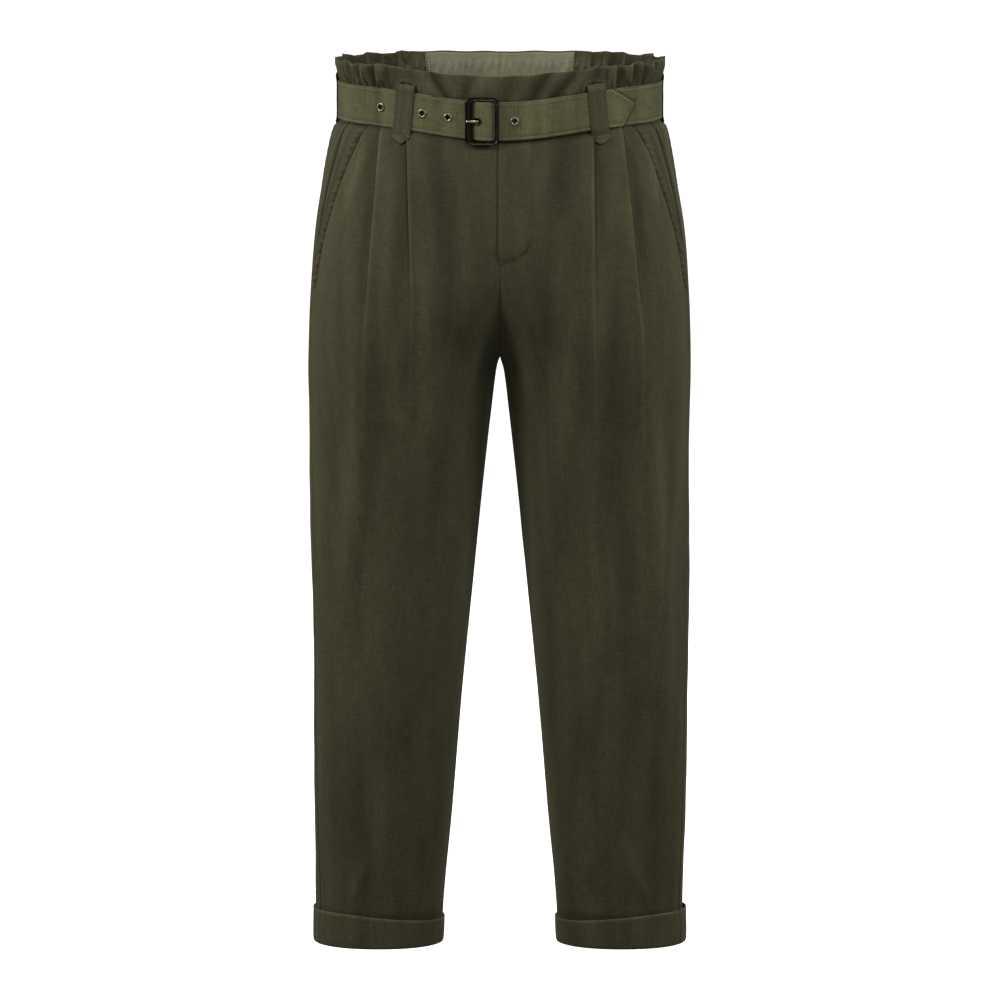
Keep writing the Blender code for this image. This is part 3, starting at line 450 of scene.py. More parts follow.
def fly_relief(side, arc, height):
    """The right front laps over the left, and the sewn fly stands a little proud."""
    share = fly_share(height)
    if side < 0:
        return -0.7 * share * bell(arc, 5.0)
    low, edge = fly_outline(height)
    raised = (1.2 + 1.3 * low) * smooth_step(edge + 1.0, edge - 2.0, arc) if edge else 0.0
    groove = -(0.8 + 1.0 * low) * bell(arc - edge - 0.6, 1.3) if edge else 0.0
    return share * (1.0 * bell(arc, 5.0) + raised + groove)


def meeting(face, here, arc, height):
    """Share of the soft relief kept: none where a front and a back are sewn together."""
    from_seam = np.abs(arc - here.seam)
    from_middle = arc if face == "front" else here.length - arc
    kept = smooth_step(0.0, 14.0, from_seam)
    return kept if height > CROTCH else kept * smooth_step(0.0, 14.0, from_middle)


def leg_row(side, face, height, arc):
    """Points round one leg panel's outer face at a height."""
    here = section(height)
    arc = np.asarray(arc, float)
    x, y, out_x, out_y = here.at(arc)
    free = smooth_step(-21.0, -31.0, height)
    relief = fold_relief(side, face, x, height) + drape(side, face, x, height)
    relief += belt_gathers(face, arc, height)
    relief = relief * meeting(face, here, arc, height)
    if face == "front":
        relief += pleat_relief(side, x, height)
        relief += seam_relief(mouth_inside(here, height, arc), height, height > MOUTH[-1][0])
    else:
        relief += seam_relief(arc - here.seam - SEAM / 2, height, False)
    middle = smooth_step(0.0, 12.0, x) if height > CROTCH else 1.0
    out = relief * free * middle
    if height > CROTCH - 8.0:
        from_middle = arc if face == "front" else here.length - arc
        out = out - 0.9 * bell(from_middle, 1.3) * free
        if face == "front":
            out = out + fly_relief(side, arc, height) * free
    lap = 0.25 * bell(here.length - arc, 2.0)
    if face == "front":
        lap = 0.2 * bell(arc, 2.0)
        if side > 0:
            lap = lap + 1.6 * fly_share(height) * np.exp(-arc / 4.0)
    sideways = out * out_x
    if height > CROTCH - 2.0:
        sideways = sideways * smooth_step(0.0, 6.0, x)
    return np.stack((side * (x + sideways - lap), y + out * out_y,
                     height + dip(x, y, height)), -1)


def pleat_tone(side, x, height):
    """Shade just behind each pleat's edge, and light along the edge."""
    tone = np.zeros_like(x)
    for pleat in PLEATS[side]:
        line, step = pleat_line(pleat, height)
        past = x - line
        stands = step / pleat[-1]
        tail = float(smooth_step(pleat[2] - 190.0, pleat[2] + 20.0, height))
        tone -= 1.15 * stands * bell(past - 0.8, 0.9) + 0.25 * stands * bell(past - 8.0, 6.0)
        tone += 0.85 * max(stands, 0.9 * tail) * bell(past + 1.7, 1.6)
    return tone


def leg_tone(side, face, height, arc):
    """How far folds, pleats and seams get painted light or painted shade, from -1 to 1."""
    here = section(height)
    x = here.at(arc)[0]
    # Painted light on the folds' ridges and painted shade in their troughs, stronger below the hips.
    fold_shading_share = 0.16 + 0.24 * float(smooth_step(-280.0, -130.0, height))
    tone = fold_shading_share * fold_relief(side, face, x, height) / FOLD_STRENGTH
    tone = tone * meeting(face, here, arc, height)
    # Painted shadow in a band just under the belt, and painted shade darkening the shins towards the
    # hem.
    tone = tone - 0.5 * float(bell(height + 21.5, 3.5))
    tone = tone - 0.24 * float(smooth_step(-560.0, -800.0, height))
    if face == "front":
        inside = mouth_inside(here, height, arc)
        tone = tone + pleat_tone(side, x, height)
        # Painted shadow along the outside of the fly's J stitching and a painted highlight on the
        # raised fly just inside it.
        if side > 0 and height > FLY_END - 3.0:
            low, edge = fly_outline(height)
            tone = tone - (0.30 + 0.9 * low) * bell(arc - edge - 1.0, 1.1)
            tone = tone + (0.14 + 0.75 * low) * bell(arc - edge + 1.8, 1.5)
        # Painted shade between the puckers of the pocket mouth's band and in the groove at its inner
        # edge; painted light on the ridge beside that groove and on the cloth further in.
        if height > MOUTH[-1][0]:
            pucker_shading = math.sin(height / 1.25) + 0.6 * math.sin(height / 4.3)
            tone = tone - mouth_band(inside) * (0.30 + 0.32 * pucker_shading)
            tone = tone + 0.22 * bell(inside - 22.0, 12.0)
            tone = tone - 0.8 * bell(inside - 8.8, 0.8) + 0.60 * bell(inside - 11.3, 1.5)
    else:
        inside = arc - here.seam
    # Painted shade along the seam and a painted highlight on the allowance ridge beside it.
    tone = tone - 0.5 * bell(inside, 0.9) + 0.40 * bell(inside - 3.2, 1.7)
    # Painted shadow just above the cuff's top edge.
    above_cuff = height - HEM - CUFF_HIGH
    tone = tone - 0.75 * float(bell(above_cuff - 1.5, 5.0))
    return np.clip(tone, -1.0, 1.0)


def leg_place(side, face, height, arc, lift=0.0):
    """One point on a leg, with the way out of the cloth there."""
    here = leg_row(side, face, height, [arc, arc + 1.2])
    below = leg_row(side, face, height - 1.2, [arc])[0]
    normal = unit(np.cross(here[1] - here[0], below - here[0]))
    if normal @ FACE_WAY[face] < 0:
        normal = -normal
    return here[0] + normal * lift, normal


# ---------------------------------------------------------------- meshes

def plain_mesh(name, points, faces):
    """A mesh from points in millimetres."""
    mesh = bpy.data.meshes.new(name)
    mesh.from_pydata((np.asarray(points) * MM).tolist(), [], [list(map(int, f)) for f in faces])
    return mesh


def put(name, data):
    item = bpy.data.objects.new(name, data)
    bpy.context.scene.collection.objects.link(item)
    return item


def new_piece(name, points, faces, material, uv=None):
    """A smooth mesh that rides on the root body.  Points and uv are in millimetres."""
    mesh = plain_mesh(name, points, faces)
    if uv is not None:
        layer = mesh.uv_layers.new(name="cloth")
        corners = np.empty(len(mesh.loops), dtype=np.int32)
        mesh.loops.foreach_get("vertex_index", corners)
        layer.data.foreach_set("uv", (np.asarray(uv) * MM)[corners].ravel())
    mesh.shade_smooth()
    item = put(name, mesh)
    mesh.materials.append(material)
    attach(item, "root")
    return item


def set_tone(item, tone):
    """Store on a shell its painted light and painted shade: how far each place is painted lighter or
    darker.
    """
    values = np.asarray(tone, dtype=np.float32).ravel()
    layer = item.data.attributes.new("tone", "FLOAT", "POINT")
    layer.data.foreach_set("value", np.concatenate((values, values)))


def grid_normals(grid):
    """Unit normals of a grid of points."""
    return unit(np.cross(np.gradient(grid, axis=1), np.gradient(grid, axis=0)))


def quads_of(rows, columns, start=0):
    """Faces of a grid."""
    first = np.arange(rows - 1)[:, None] * columns + np.arange(columns - 1)[None, :] + start
    return np.stack((first, first + 1, first + columns + 1, first + columns), -1).reshape(-1, 4)


def shell(name, grid, thick, material, uv, outward):
    """A thin cloth shell: the grid is its outer face, and thick its wall (a size or a grid)."""
    grid = np.asarray(grid)
    rows, columns = grid.shape[:2]
    normal = grid_normals(grid)
    turned = np.sum(normal * outward) < 0
    if turned:
        normal = -normal
    inner = grid - normal * (thick if np.isscalar(thick) else thick[..., None])
    points = np.concatenate((grid.reshape(-1, 3), inner.reshape(-1, 3)))
    count = rows * columns
    faces = quads_of(rows, columns)
    rim = np.concatenate((np.arange(columns), np.arange(1, rows) * columns + columns - 1,
                          (rows - 1) * columns + np.arange(columns - 2, -1, -1),
                          np.arange(rows - 2, 0, -1) * columns))
    after = np.roll(rim, -1)
    sides = np.stack((after, rim, rim + count, after + count), -1)
    faces = np.concatenate((faces, faces[:, ::-1] + count, sides))
    if turned:
        faces = faces[:, ::-1]
    uv = np.asarray(uv).reshape(-1, 2)
    return new_piece(name, points, faces, material, np.concatenate((uv, uv)))


def away_from_axis(grid, axis=(0.0, 0.0)):
    """Directions away from an upright axis."""
    way = np.array(grid)
    way[..., 0] -= axis[0]
    way[..., 1] -= axis[1]
    way[..., 2] = 0.0
    return way


def ring_faces(rows, sides, closed=True, start=0):
    """Faces between rings of points, each ring joined to the next."""
    faces = []
    for row in range(rows if closed else rows - 1):
        below = start + row * sides
        above = start + (row + 1) % rows * sides
        for i in range(sides):
            j = (i + 1) % sides
            faces.append([below + i, below + j, above + j, above + i])
    return faces


def end_faces(rows, sides, start=0):
    """The two caps of a stack of rings."""
    last = start + (rows - 1) * sides
    return [[start + i for i in range(sides)][::-1], [last + i for i in range(sides)]]


def tube(name, path, radius, material, sides, squash=1.0):
    """A tube along a path of points, round or flattened, capped at its ends."""
    path = np.asarray(path, float)
    radius = np.broadcast_to(radius, (len(path),))
    along = unit(np.gradient(path, axis=0))
    across = unit(np.cross(along, (0.0, -1.0, 0.0)))
    up = np.cross(across, along)
    turn = np.arange(sides) * 2 * math.pi / sides
    ring = (np.cos(turn)[None, :, None] * across[:, None, :]
            + np.sin(turn)[None, :, None] * up[:, None, :] * squash)
    points = (path[:, None, :] + ring * radius[:, None, None]).reshape(-1, 3)
    faces = ring_faces(len(path), sides, False) + end_faces(len(path), sides)
    return new_piece(name, points, faces, material, None)


def between(at, run, values):
    return np.array([np.interp(at, run, values[:, k]) for k in range(3)])


def stitches(name, lines, material, length=2.3, gap=1.1, radius=0.3):
    """Short threads along lines of (points, normals), each end dipping into the cloth."""
    verts, faces = [], []
    sides = 5
    turn = np.arange(sides) * 2 * math.pi / sides
    stations = ((-0.5, -0.35, 0.6), (-0.3, 0.16, 1.0), (0.3, 0.16, 1.0), (0.5, -0.35, 0.6))
    for points, normals in lines:
        points = np.asarray(points)
        normals = np.asarray(normals)
        run = np.concatenate(([0.0], np.cumsum(np.linalg.norm(np.diff(points, axis=0), axis=1))))
        for middle in np.arange(length / 2, run[-1] - length / 2, length + gap):
            start = len(verts)
            for share, lift, size in stations:
                at = middle + share * length
                place = between(at, run, points)
                out = between(at, run, normals)
                ahead = between(at + 0.5, run, points) - between(at - 0.5, run, points)
                side = unit(np.cross(ahead, out))
                for t in turn:
                    verts.append(place + out * (lift + math.sin(t) * radius * size)
                                 + side * math.cos(t) * radius * size)
            faces += ring_faces(len(stations), sides, False, start)
            faces += end_faces(len(stations), sides, start)
    return new_piece(name, verts, faces, material, None)


# ---------------------------------------------------------------- materials

def node_tree(name):
    material = bpy.data.materials.new(name)
    material.use_nodes = True
    tree = material.node_tree
    return material, tree, tree.nodes["Principled BSDF"]


def set_inputs(node, values):
    for key, value in values.items():
        node.inputs[key].default_value = value


def add(tree, kind, **settings):
    node = tree.nodes.new(kind)
    for key, value in settings.items():
        setattr(node, key, value)
    return node


def noise(tree, vector, scale, detail=3.0, rough=0.55):
    node = add(tree, "ShaderNodeTexNoise")
    set_inputs(node, {"Scale": scale, "Detail": detail, "Roughness": rough})
    tree.links.new(vector, node.inputs["Vector"])
    return node.outputs["Fac"]


def combine(tree, operation, first, second, third=None):
    node = add(tree, "ShaderNodeMath", operation=operation)
    for socket, value in zip(node.inputs, (first, second, third)):
        if value is None:
            continue
        if isinstance(value, (int, float)):
            socket.default_value = value
        else:
            tree.links.new(value, socket)
    return node.outputs[0]


def blend_colours(tree, share, first, second, mode="MIX"):
    node = add(tree, "ShaderNodeMix", data_type="RGBA", blend_type=mode)
    if isinstance(share, (int, float)):
        node.inputs["Factor"].default_value = share
    else:
        tree.links.new(share, node.inputs["Factor"])
    for socket, value in ((node.inputs["A"], first), (node.inputs["B"], second)):
        if isinstance(value, tuple):
            socket.default_value = (*value, 1.0)
        else:
            tree.links.new(value, socket)
    return node.outputs["Result"]


def ribs(tree, place, across, pitch, slant=0.0):
    """Raised threads: a rounded profile across one direction of the cloth, from 0 to 1."""
    split = add(tree, "ShaderNodeSeparateXYZ")
    tree.links.new(place, split.inputs[0])
    first, second = ("X", "Y") if across == "u" else ("Y", "X")
    value = combine(tree, "MULTIPLY_ADD", split.outputs[second], slant, split.outputs[first])
    value = combine(tree, "MULTIPLY", value, 2 * math.pi / (pitch * MM))
    value = combine(tree, "SINE", value, 0.0)
    return combine(tree, "MULTIPLY_ADD", value, 0.5, 0.5)


def remap(tree, value, low, high, to_low, to_high):
    node = add(tree, "ShaderNodeMapRange")
    tree.links.new(value, node.inputs["Value"])
    set_inputs(node, {"From Min": low, "From Max": high, "To Min": to_low, "To Max": to_high})
    return node.outputs["Result"]


def bump(tree, shader, height, distance):
    node = add(tree, "ShaderNodeBump")
    set_inputs(node, {"Strength": 1.0, "Distance": distance * MM})
    tree.links.new(height, node.inputs["Height"])
    tree.links.new(node.outputs["Normal"], shader.inputs["Normal"])


def cloth_material(name, dark, light, warm, weave, weave_depth, sheen, slub=0.40):
    """A woven cloth: slow shade changes, flecked yarns, a weave in relief, a soft sheen, and the
    painted light and painted shade stored on each shell.
    """
    material, tree, shader = node_tree(name)
    place = add(tree, "ShaderNodeUVMap", uv_map="cloth").outputs["UV"]
    whole = add(tree, "ShaderNodeTexCoord").outputs["Object"]
    streaks = noise(tree, stretched(tree, whole, (46.0, 46.0, 4.5)), 1.0, 4.0)
    slow = remap(tree, streaks, 0.32, 0.68, 0.0, 1.0)
    fleck = remap(tree, noise(tree, whole, 620.0, 2.0), 0.3, 0.7, 0.0, 1.0)
    tint = remap(tree, noise(tree, whole, 26.0, 3.0), 0.45, 0.75, 0.0, 0.5)
    threads = weave(tree, place)
    upright = yarn_noise(tree, place, 900.0, 70.0)
    level_yarns = yarn_noise(tree, place, 60.0, 900.0)
    slubs = combine(tree, "MULTIPLY", level_yarns, 0.5)
    slubs = combine(tree, "MULTIPLY_ADD", upright, 0.5, slubs)
    colour = blend_colours(tree, slow, dark, light)
    colour = blend_colours(tree, tint, colour, warm)
    shade = combine(tree, "MULTIPLY_ADD", threads, 0.30, 0.82)
    shade = combine(tree, "MULTIPLY", shade, combine(tree, "MULTIPLY_ADD", fleck, 0.30, 0.85))
    uneven = combine(tree, "MULTIPLY_ADD", slubs, slub, 1.0 - slub / 2)
    shade = combine(tree, "MULTIPLY", shade, uneven)
    # The tone attribute holds painted light and painted shade; it scales the cloth's colour lighter or
    # darker.
    wear_and_painted_shading = add(tree, "ShaderNodeAttribute", attribute_name="tone").outputs["Fac"]
    shade = combine(tree, "MULTIPLY", shade, combine(tree, "MULTIPLY_ADD", wear_and_painted_shading, 0.50, 1.0))
    grey = add(tree, "ShaderNodeCombineColor")
    for socket in grey.inputs:
        tree.links.new(shade, socket)
    colour = blend_colours(tree, 1.0, colour, grey.outputs[0], "MULTIPLY")
    tree.links.new(colour, shader.inputs["Base Color"])
    tree.links.new(remap(tree, fleck, 0.0, 1.0, 0.62, 0.82), shader.inputs["Roughness"])
    set_inputs(shader, {"Specular IOR Level": 0.14, "Sheen Weight": sheen,
                        "Sheen Roughness": 0.45, "Sheen Tint": (0.62, 0.62, 0.36, 1.0)})
    crumple = noise(tree, whole, 95.0, 3.0)
    height = combine(tree, "MULTIPLY_ADD", threads, weave_depth, combine(tree, "MULTIPLY", fleck, 0.06))
    height = combine(tree, "MULTIPLY_ADD", slubs, 0.10, height)
    height = combine(tree, "MULTIPLY_ADD", crumple, 0.45, height)
    bump(tree, shader, height, 1.0)
    return material


def stretched(tree, place, scale):
    node = add(tree, "ShaderNodeMapping")
    node.inputs["Scale"].default_value = scale
    tree.links.new(place, node.inputs["Vector"])
    return node.outputs["Vector"]


def yarn_noise(tree, place, across, along):
    """Uneven yarns: noise drawn out along one direction of the cloth."""
    drawn = stretched(tree, place, (across, along, 1.0))
    return remap(tree, noise(tree, drawn, 1.0, 2.0), 0.3, 0.7, 0.0, 1.0)


def twill(tree, place):
    """Fine slanting ribs, broken up by single yarns."""
    slanting = ribs(tree, place, "u", 1.15, 1.0)
    yarns = ribs(tree, place, "v", 0.62)
    return combine(tree, "MULTIPLY_ADD", yarns, 0.35, combine(tree, "MULTIPLY", slanting, 0.65))


def canvas(tree, place):
    """Close upright ribs with crossing yarns, as in a woven strap."""
    upright = ribs(tree, place, "u", 1.35)
    crossing = ribs(tree, place, "v", 0.9)
    return combine(tree, "MULTIPLY_ADD", crossing, 0.3, combine(tree, "MULTIPLY", upright, 0.7))


def plain_weave(tree, place):
    return combine(tree, "MULTIPLY_ADD", ribs(tree, place, "u", 0.9), 0.5,
                   combine(tree, "MULTIPLY", ribs(tree, place, "v", 0.9), 0.5))


def thread_material(name, colour):
    material, tree, shader = node_tree(name)
    whole = add(tree, "ShaderNodeTexCoord").outputs["Object"]
    spun = remap(tree, noise(tree, whole, 900.0, 2.0), 0.3, 0.7, 0.0, 1.0)
    dark = tuple(0.7 * c for c in colour)
    tree.links.new(blend_colours(tree, spun, dark, colour), shader.inputs["Base Color"])
    set_inputs(shader, {"Roughness": 0.7, "Sheen Weight": 0.15})
    bump(tree, shader, spun, 0.1)
    return material


def metal_material(name, base, wear_and_painted_shading, rough, wear):
    """Metal whose raised edges are rubbed lighter, with faint scuffs."""
    material, tree, shader = node_tree(name)
    whole = add(tree, "ShaderNodeTexCoord").outputs["Object"]
    scuff = noise(tree, whole, 240.0, 4.0, 0.65)
    point = add(tree, "ShaderNodeNewGeometry").outputs["Pointiness"]
    edge = remap(tree, point, 0.50, 0.60, 0.0, wear)
    share = combine(tree, "MAXIMUM", edge, remap(tree, scuff, 0.58, 0.74, 0.0, wear * 0.8))
    tree.links.new(blend_colours(tree, share, base, wear_and_painted_shading), shader.inputs["Base Color"])
    shader.inputs["Metallic"].default_value = 1.0
    tree.links.new(remap(tree, scuff, 0.3, 0.7, rough - 0.08, rough + 0.12),
                   shader.inputs["Roughness"])
    bump(tree, shader, scuff, 0.05)
    return material


MATERIALS = {
    "main": cloth_material("olive_twill", (0.043, 0.0395, 0.0195), (0.0665, 0.0610, 0.0308),
                           (0.066, 0.052, 0.030), twill, 0.18, 0.16, 0.60),
    "loop": cloth_material("loop_twill", (0.052, 0.051, 0.025), (0.070, 0.067, 0.034),
                           (0.067, 0.057, 0.032), twill, 0.14, 0.12),
    "belt": cloth_material("belt_canvas", (0.066, 0.066, 0.030), (0.134, 0.133, 0.061),
                           (0.116, 0.098, 0.052), canvas, 0.34, 0.12, 0.55),
    "facing": cloth_material("facing_plain", (0.155, 0.153, 0.094), (0.200, 0.197, 0.120),
                             (0.175, 0.163, 0.112), plain_weave, 0.12, 0.10, 0.22),
    "thread": thread_material("olive_thread", (0.075, 0.072, 0.040)),
    "dark_thread": thread_material("dark_thread", (0.018, 0.016, 0.009)),
    "belt_thread": thread_material("belt_thread", (0.230, 0.225, 0.130)),
    "buckle": metal_material("buckle_antique", (0.016, 0.013, 0.009), (0.22, 0.19, 0.14), 0.30, 0.5),
    "eyelet": metal_material("eyelet_pale", (0.24, 0.22, 0.15), (0.50, 0.47, 0.36), 0.26, 0.5),
    "prong": metal_material("prong_steel", (0.42, 0.41, 0.36), (0.80, 0.79, 0.72), 0.24, 0.8),
}


# ---------------------------------------------------------------- legs

PLEAT_OFFSETS = (-7.0, -4.4, -2.6, -1.5, -0.8, -0.3, 0.0, 0.35, 0.8, 1.5, 2.6, 4.2, 6.5)
EDGE_OFFSETS = (-9.6, -8.6, -7.6, -6.4, -5.2, -4.2, -3.3, -2.5, -1.8, -1.2, -0.6, 0.0)


def leg_heights():
    step = 1
    return np.concatenate((np.linspace(-SEAM / 2, -20.0, 5), np.arange(-22.0, -290.0, -2.4),
                           np.arange(-291.5, HEM + 6.0, -3.9), [HEM + 4.0]))[::step]


def front_arcs(side, height):
    """Mesh columns of a front, crowded at its pleats and its outer edge."""
    here = section(height)
    (inner_x, _), (outer_x, _) = [pleat_line(pleat, height) for pleat in PLEATS[side]]
    inner = here.front_arc(inner_x)
    outer = here.front_arc(outer_x)
    edge = here.seam - mouth_ahead(height)
    middle = np.array((0.0, 0.7, 1.5, 2.6, 4.2, 6.5))
    return np.concatenate((
        middle,
        np.linspace(9.0, inner - 9.5, 24),
        inner + np.array(PLEAT_OFFSETS),
        np.linspace(inner + 9.0, outer - 9.5, 8),
        outer + np.array(PLEAT_OFFSETS),
        np.linspace(outer + 9.0, edge - 12.0, 15),
        edge + np.array(EDGE_OFFSETS),
    ))


def back_arcs(height):
    here = section(height)
    start = here.seam
    end = here.length
    opening = -np.array(EDGE_OFFSETS)[::-1]
    closing = np.array((-6.5, -4.2, -2.6, -1.5, -0.7, 0.0))
    return np.concatenate((start + opening, np.linspace(start + 12.0, end - 9.0, 62),
                           end + closing))


def make_leg(side_name, face):
    side = SIDES[side_name]
    grid, uv, tone = [], [], []
    for height in rounded(leg_heights()):
        arcs = front_arcs(side, height) if face == "front" else back_arcs(height)
        grid.append(leg_row(side, face, height, arcs))
        tone.append(leg_tone(side, face, height, arcs))
        uv.append(flat_row(arcs - section(height).seam, height))
    node = f"{face}_{side_name}"
    item = shell(f"{node}_cloth", grid, CLOTH, MATERIALS["main"], uv, FACE_WAY[face])
    set_tone(item, tone)
    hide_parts(node)


def make_pocket(side_name):
    """The pocket bearer behind the slant mouth, with a soft ridge down it."""
    side = SIDES[side_name]
    grid, uv = [], []
    for height in rounded(np.arange(-0.15, -184.0, -2.0)):
        here = section(height)
        edge = here.seam - mouth_ahead(height) - SEAM / 2
        seam = here.seam - SEAM / 2
        arcs = np.linspace(edge - MOUTH_UNDERLAP + 1.0, seam, 26)
        sunk = 2.4 - 1.6 * smooth_step(edge, seam, arcs)
        ridge = edge + 0.52 * (seam - edge)
        free = float(smooth_step(-21.0, -31.0, height))
        out = -sunk + free * (1.5 * bell(arcs - ridge, 2.6) - 0.9 * bell(arcs - seam, 1.2)
                              + 0.3 * np.sin(height / 9.0) * bell(arcs - ridge, 6.0))
        grid.append(off_section(side, here, arcs, out, height))
        uv.append(flat_row(arcs, height))
    item = shell(f"pocket_{side_name}_cloth", grid, 1.2, MATERIALS["main"], uv, FACE_WAY["front"])
    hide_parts(f"pocket_{side_name}")
    return item


def make_fly_facing():
    """The strip behind the fly, curved in at its end like the stitching over it."""
    grid, uv = [], []
    for height in rounded(np.linspace(-0.15, FLY_END - 12.0, 50)):
        low = max(0.0, (FLY_TURN - 8.0 - height) / (FLY_TURN - FLY_END + 6.0))
        wide = (FLY_WIDE + 4.0) * math.sqrt(max(0.004, 1.0 - min(low, 1.0) ** 2))
        arcs = np.linspace(0.6, 0.6 + wide, 12)
        grid.append(off_section(1, section(height), arcs, -3.4, height))
        uv.append(flat_row(arcs, height))
    item = shell("fly_facing_cloth", grid, 0.9, MATERIALS["main"], uv, FACE_WAY["front"])
    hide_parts("fly_facing")


# ---------------------------------------------------------------- header and its linings

def wrapped(arc):
    """An arc from the centre front, between minus and plus half the waist."""
    half = RING.length
    return (np.asarray(arc, float) + half) % (2 * half) - half


def header_height(arc):
    """Height of the header's top edge over the ring line, with its small unevenness."""
    arc = wrapped(arc)
    reach = np.abs(arc)
    places = (0.0, RING.seam * 0.55, RING.seam, RING.length)
    heights = (HEADER_FRONT, HEADER_SIDE + 0.6, HEADER_SIDE, HEADER_BACK)
    high = np.interp(reach, places, heights)
    smooth = smooth_step(118.0, 96.0, reach)
    high = high + smooth * np.where(arc > 0, 1.1 * np.sin((reach - 6.0) / 24.0),
                                    0.9 * np.sin(reach / 19.0 + 0.6))
    return high + 0.4 * np.sin(arc / 7.0)


def gather(arc):
    """Where an arc lies in its rolled gather: share across it, how far out, how much taller."""
    arc = wrapped(arc)
    side = np.where(arc >= 0, 1, -1)
    reach = np.abs(arc)
    share = np.full(arc.shape, -1.0)
    out = np.zeros(arc.shape)
    tall = np.zeros(arc.shape)
    wide = np.ones(arc.shape)
    for way in (-1, 1):
        valleys = np.array(GATHERS[way])
        rolls = np.array(ROLLS[way])
        inside = (side == way) & (reach > valleys[0]) & (reach < valleys[-1])
        number = np.clip(np.searchsorted(valleys, reach) - 1, 0, len(rolls) - 1)
        width = valleys[number + 1] - valleys[number]
        share = np.where(inside, (reach - valleys[number]) / width, share)
        out = np.where(inside, rolls[number, 0], out)
        tall = np.where(inside, rolls[number, 1], tall)
        wide = np.where(inside, width, wide)
    return share, out, tall, wide, side


def header_creases(arc, height):
    """The soft, uneven creases of the header's plain middle."""
    total = 1.1 * np.sin(arc / 14.0 + height / 15.0) + 0.8 * np.sin(arc / 31.0 - height / 9.0)
    for place, lean, width, high in HEADER_CREASES:
        total = total + high * bell(arc - place - (height - 34.0) * lean, width)
    return total


def loop_arches(arc, height):
    """The puckered seam that arches over the top of each front loop."""
    total = np.zeros(np.broadcast(arc, height).shape)
    for middle in LOOP_ARCHES:
        across = (arc - waist_arc(middle)) / 13.5
        up = (height - 19.0) / 11.5
        ring = np.hypot(across, up)
        around = np.arctan2(up, across)
        ridge = bell(ring - 1.0, 0.09) * (1.3 + 0.45 * np.sin(around * 17.0))
        total = total + np.where(up > 0.0, ridge - 0.9 * bell(ring - 0.8, 0.1), 0.0)
    return total


def header_points(arc, rise, sunk=0.0):
    """Header surface: rise runs from 0 behind the belt to 1 at the top edge."""
    arc, rise = np.broadcast_arrays(np.asarray(arc, float), rise)
    share, out, tall, wide, side = gather(arc)
    rolled = share >= 0.0
    inside = np.clip(share, 0.0, 1.0)
    round_top = np.sqrt(np.clip(1.0 - (2 * inside - 1) ** 2, 0.0, 1.0))
    high = header_height(arc)
    height = SEAM / 2 + (high - SEAM / 2) * rise
    puffed = smooth_step(BELT_HIGH / 2 - 1.0, BELT_HIGH / 2 + 11.0, height)
    pinched = smooth_step(BELT_HIGH / 2 - 6.0, BELT_HIGH / 2, height)
    curl = 1.0 - 0.22 * smooth_step(0.82, 1.0, rise)
    roll = np.where(rolled, (2.2 * out * round_top - 6.2) * puffed * curl, 0.0)
    lean = 1.0 - 0.6 * smooth_step(118.0, 96.0, np.abs(wrapped(arc)))
    base = 4.4 * lean * smooth_step(BELT_HIGH / 2 - 2.0, high, height)
    pucker = 1.4 * np.sin(arc / 1.35 + 1.4 * np.sin(arc / 7.0)) * bell(height - 24.0, 4.5)
    pucker = pucker * np.where(rolled, 1.0, smooth_step(60.0, 100.0, np.abs(arc)))
    flat = np.where(rolled, 0.0, 1.0)
    front = flat * (np.abs(arc) < 130.0)
    soft = header_creases(arc, height)
    reach = base + roll + pucker * pinched + front * soft * pinched - sunk
    reach = reach + loop_arches(arc, height) * (sunk == 0.0)
    shift = np.where(rolled, 0.13 * wide * np.sin(2 * math.pi * inside) * puffed, 0.0) * side
    top = np.where(rolled, (2.0 * tall * round_top - 0.8) * rise ** 3, 0.0)
    return waist_points(arc + shift, reach, height + top)


def header_tone(arcs, rises):
    """Shade in the header's valleys, and light on its rolls."""
    arc, rise = np.meshgrid(arcs, rises)
    share, _, _, _, _ = gather(arc)
    inside = np.clip(share, 0.0, 1.0)
    crest = np.sqrt(np.clip(1.0 - (2 * inside - 1) ** 2, 0.0, 1.0))
    valley = bell(np.minimum(inside, 1.0 - inside), 0.13)
    height = header_height(arc) * rise
    # Painted light on the rolls' crests and along the top edge, painted shade in their valleys; in the
    # plain middle, painted light and shade following its creases.
    rolls = 0.50 * crest - 1.15 * valley + 0.45 * smooth_step(0.9, 1.0, rise)
    creases = 0.10 + 0.24 * header_creases(arc, height) + 0.25 * smooth_step(0.93, 1.0, rise)
    # Painted shadow just above the belt's top edge.
    behind = -0.6 * bell(height - BELT_HIGH / 2, 3.0)
    return np.clip(np.where(share >= 0.0, rolls, creases) + behind, -1.0, 1.0)


def header_columns(start, end):
    """Mesh columns, evenly spaced about 1.45 apart."""
    count = int((end - start) / (1.45))
    return np.linspace(start, end, count)


def make_header(name, start, end):
    arcs = header_columns(start, end)
    rises = np.concatenate((np.linspace(0.0, 0.42, 5), np.linspace(0.46, 0.97, 17), [1.0]))
    grid = header_points(arcs[None, :], rises[:, None])
    lap = fly_lap(arcs)
    grid[..., 0] -= lap * smooth_step(0.3, 0.45, rises)[:, None]
    grid[..., 1] -= 0.8 * (lap > 0) * bell(arcs, 8.0) * smooth_step(0.3, 0.5, rises)[:, None]
    high = header_height(arcs)
    uv = flat_row(arcs, rises[:, None] * high[None, :])
    item = shell(f"{name}_cloth", grid, 1.3, MATERIALS["main"], uv, away_from_axis(grid))
    set_tone(item, header_tone(arcs, rises))
    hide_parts(name)
    return item


def fly_lap(arcs):
    """How far the right front's header reaches over the left one."""
    return np.where(arcs > 0.0, 1.8 * np.exp(-np.abs(arcs) / 4.0), 0.0) * (np.min(np.abs(arcs)) < 1)


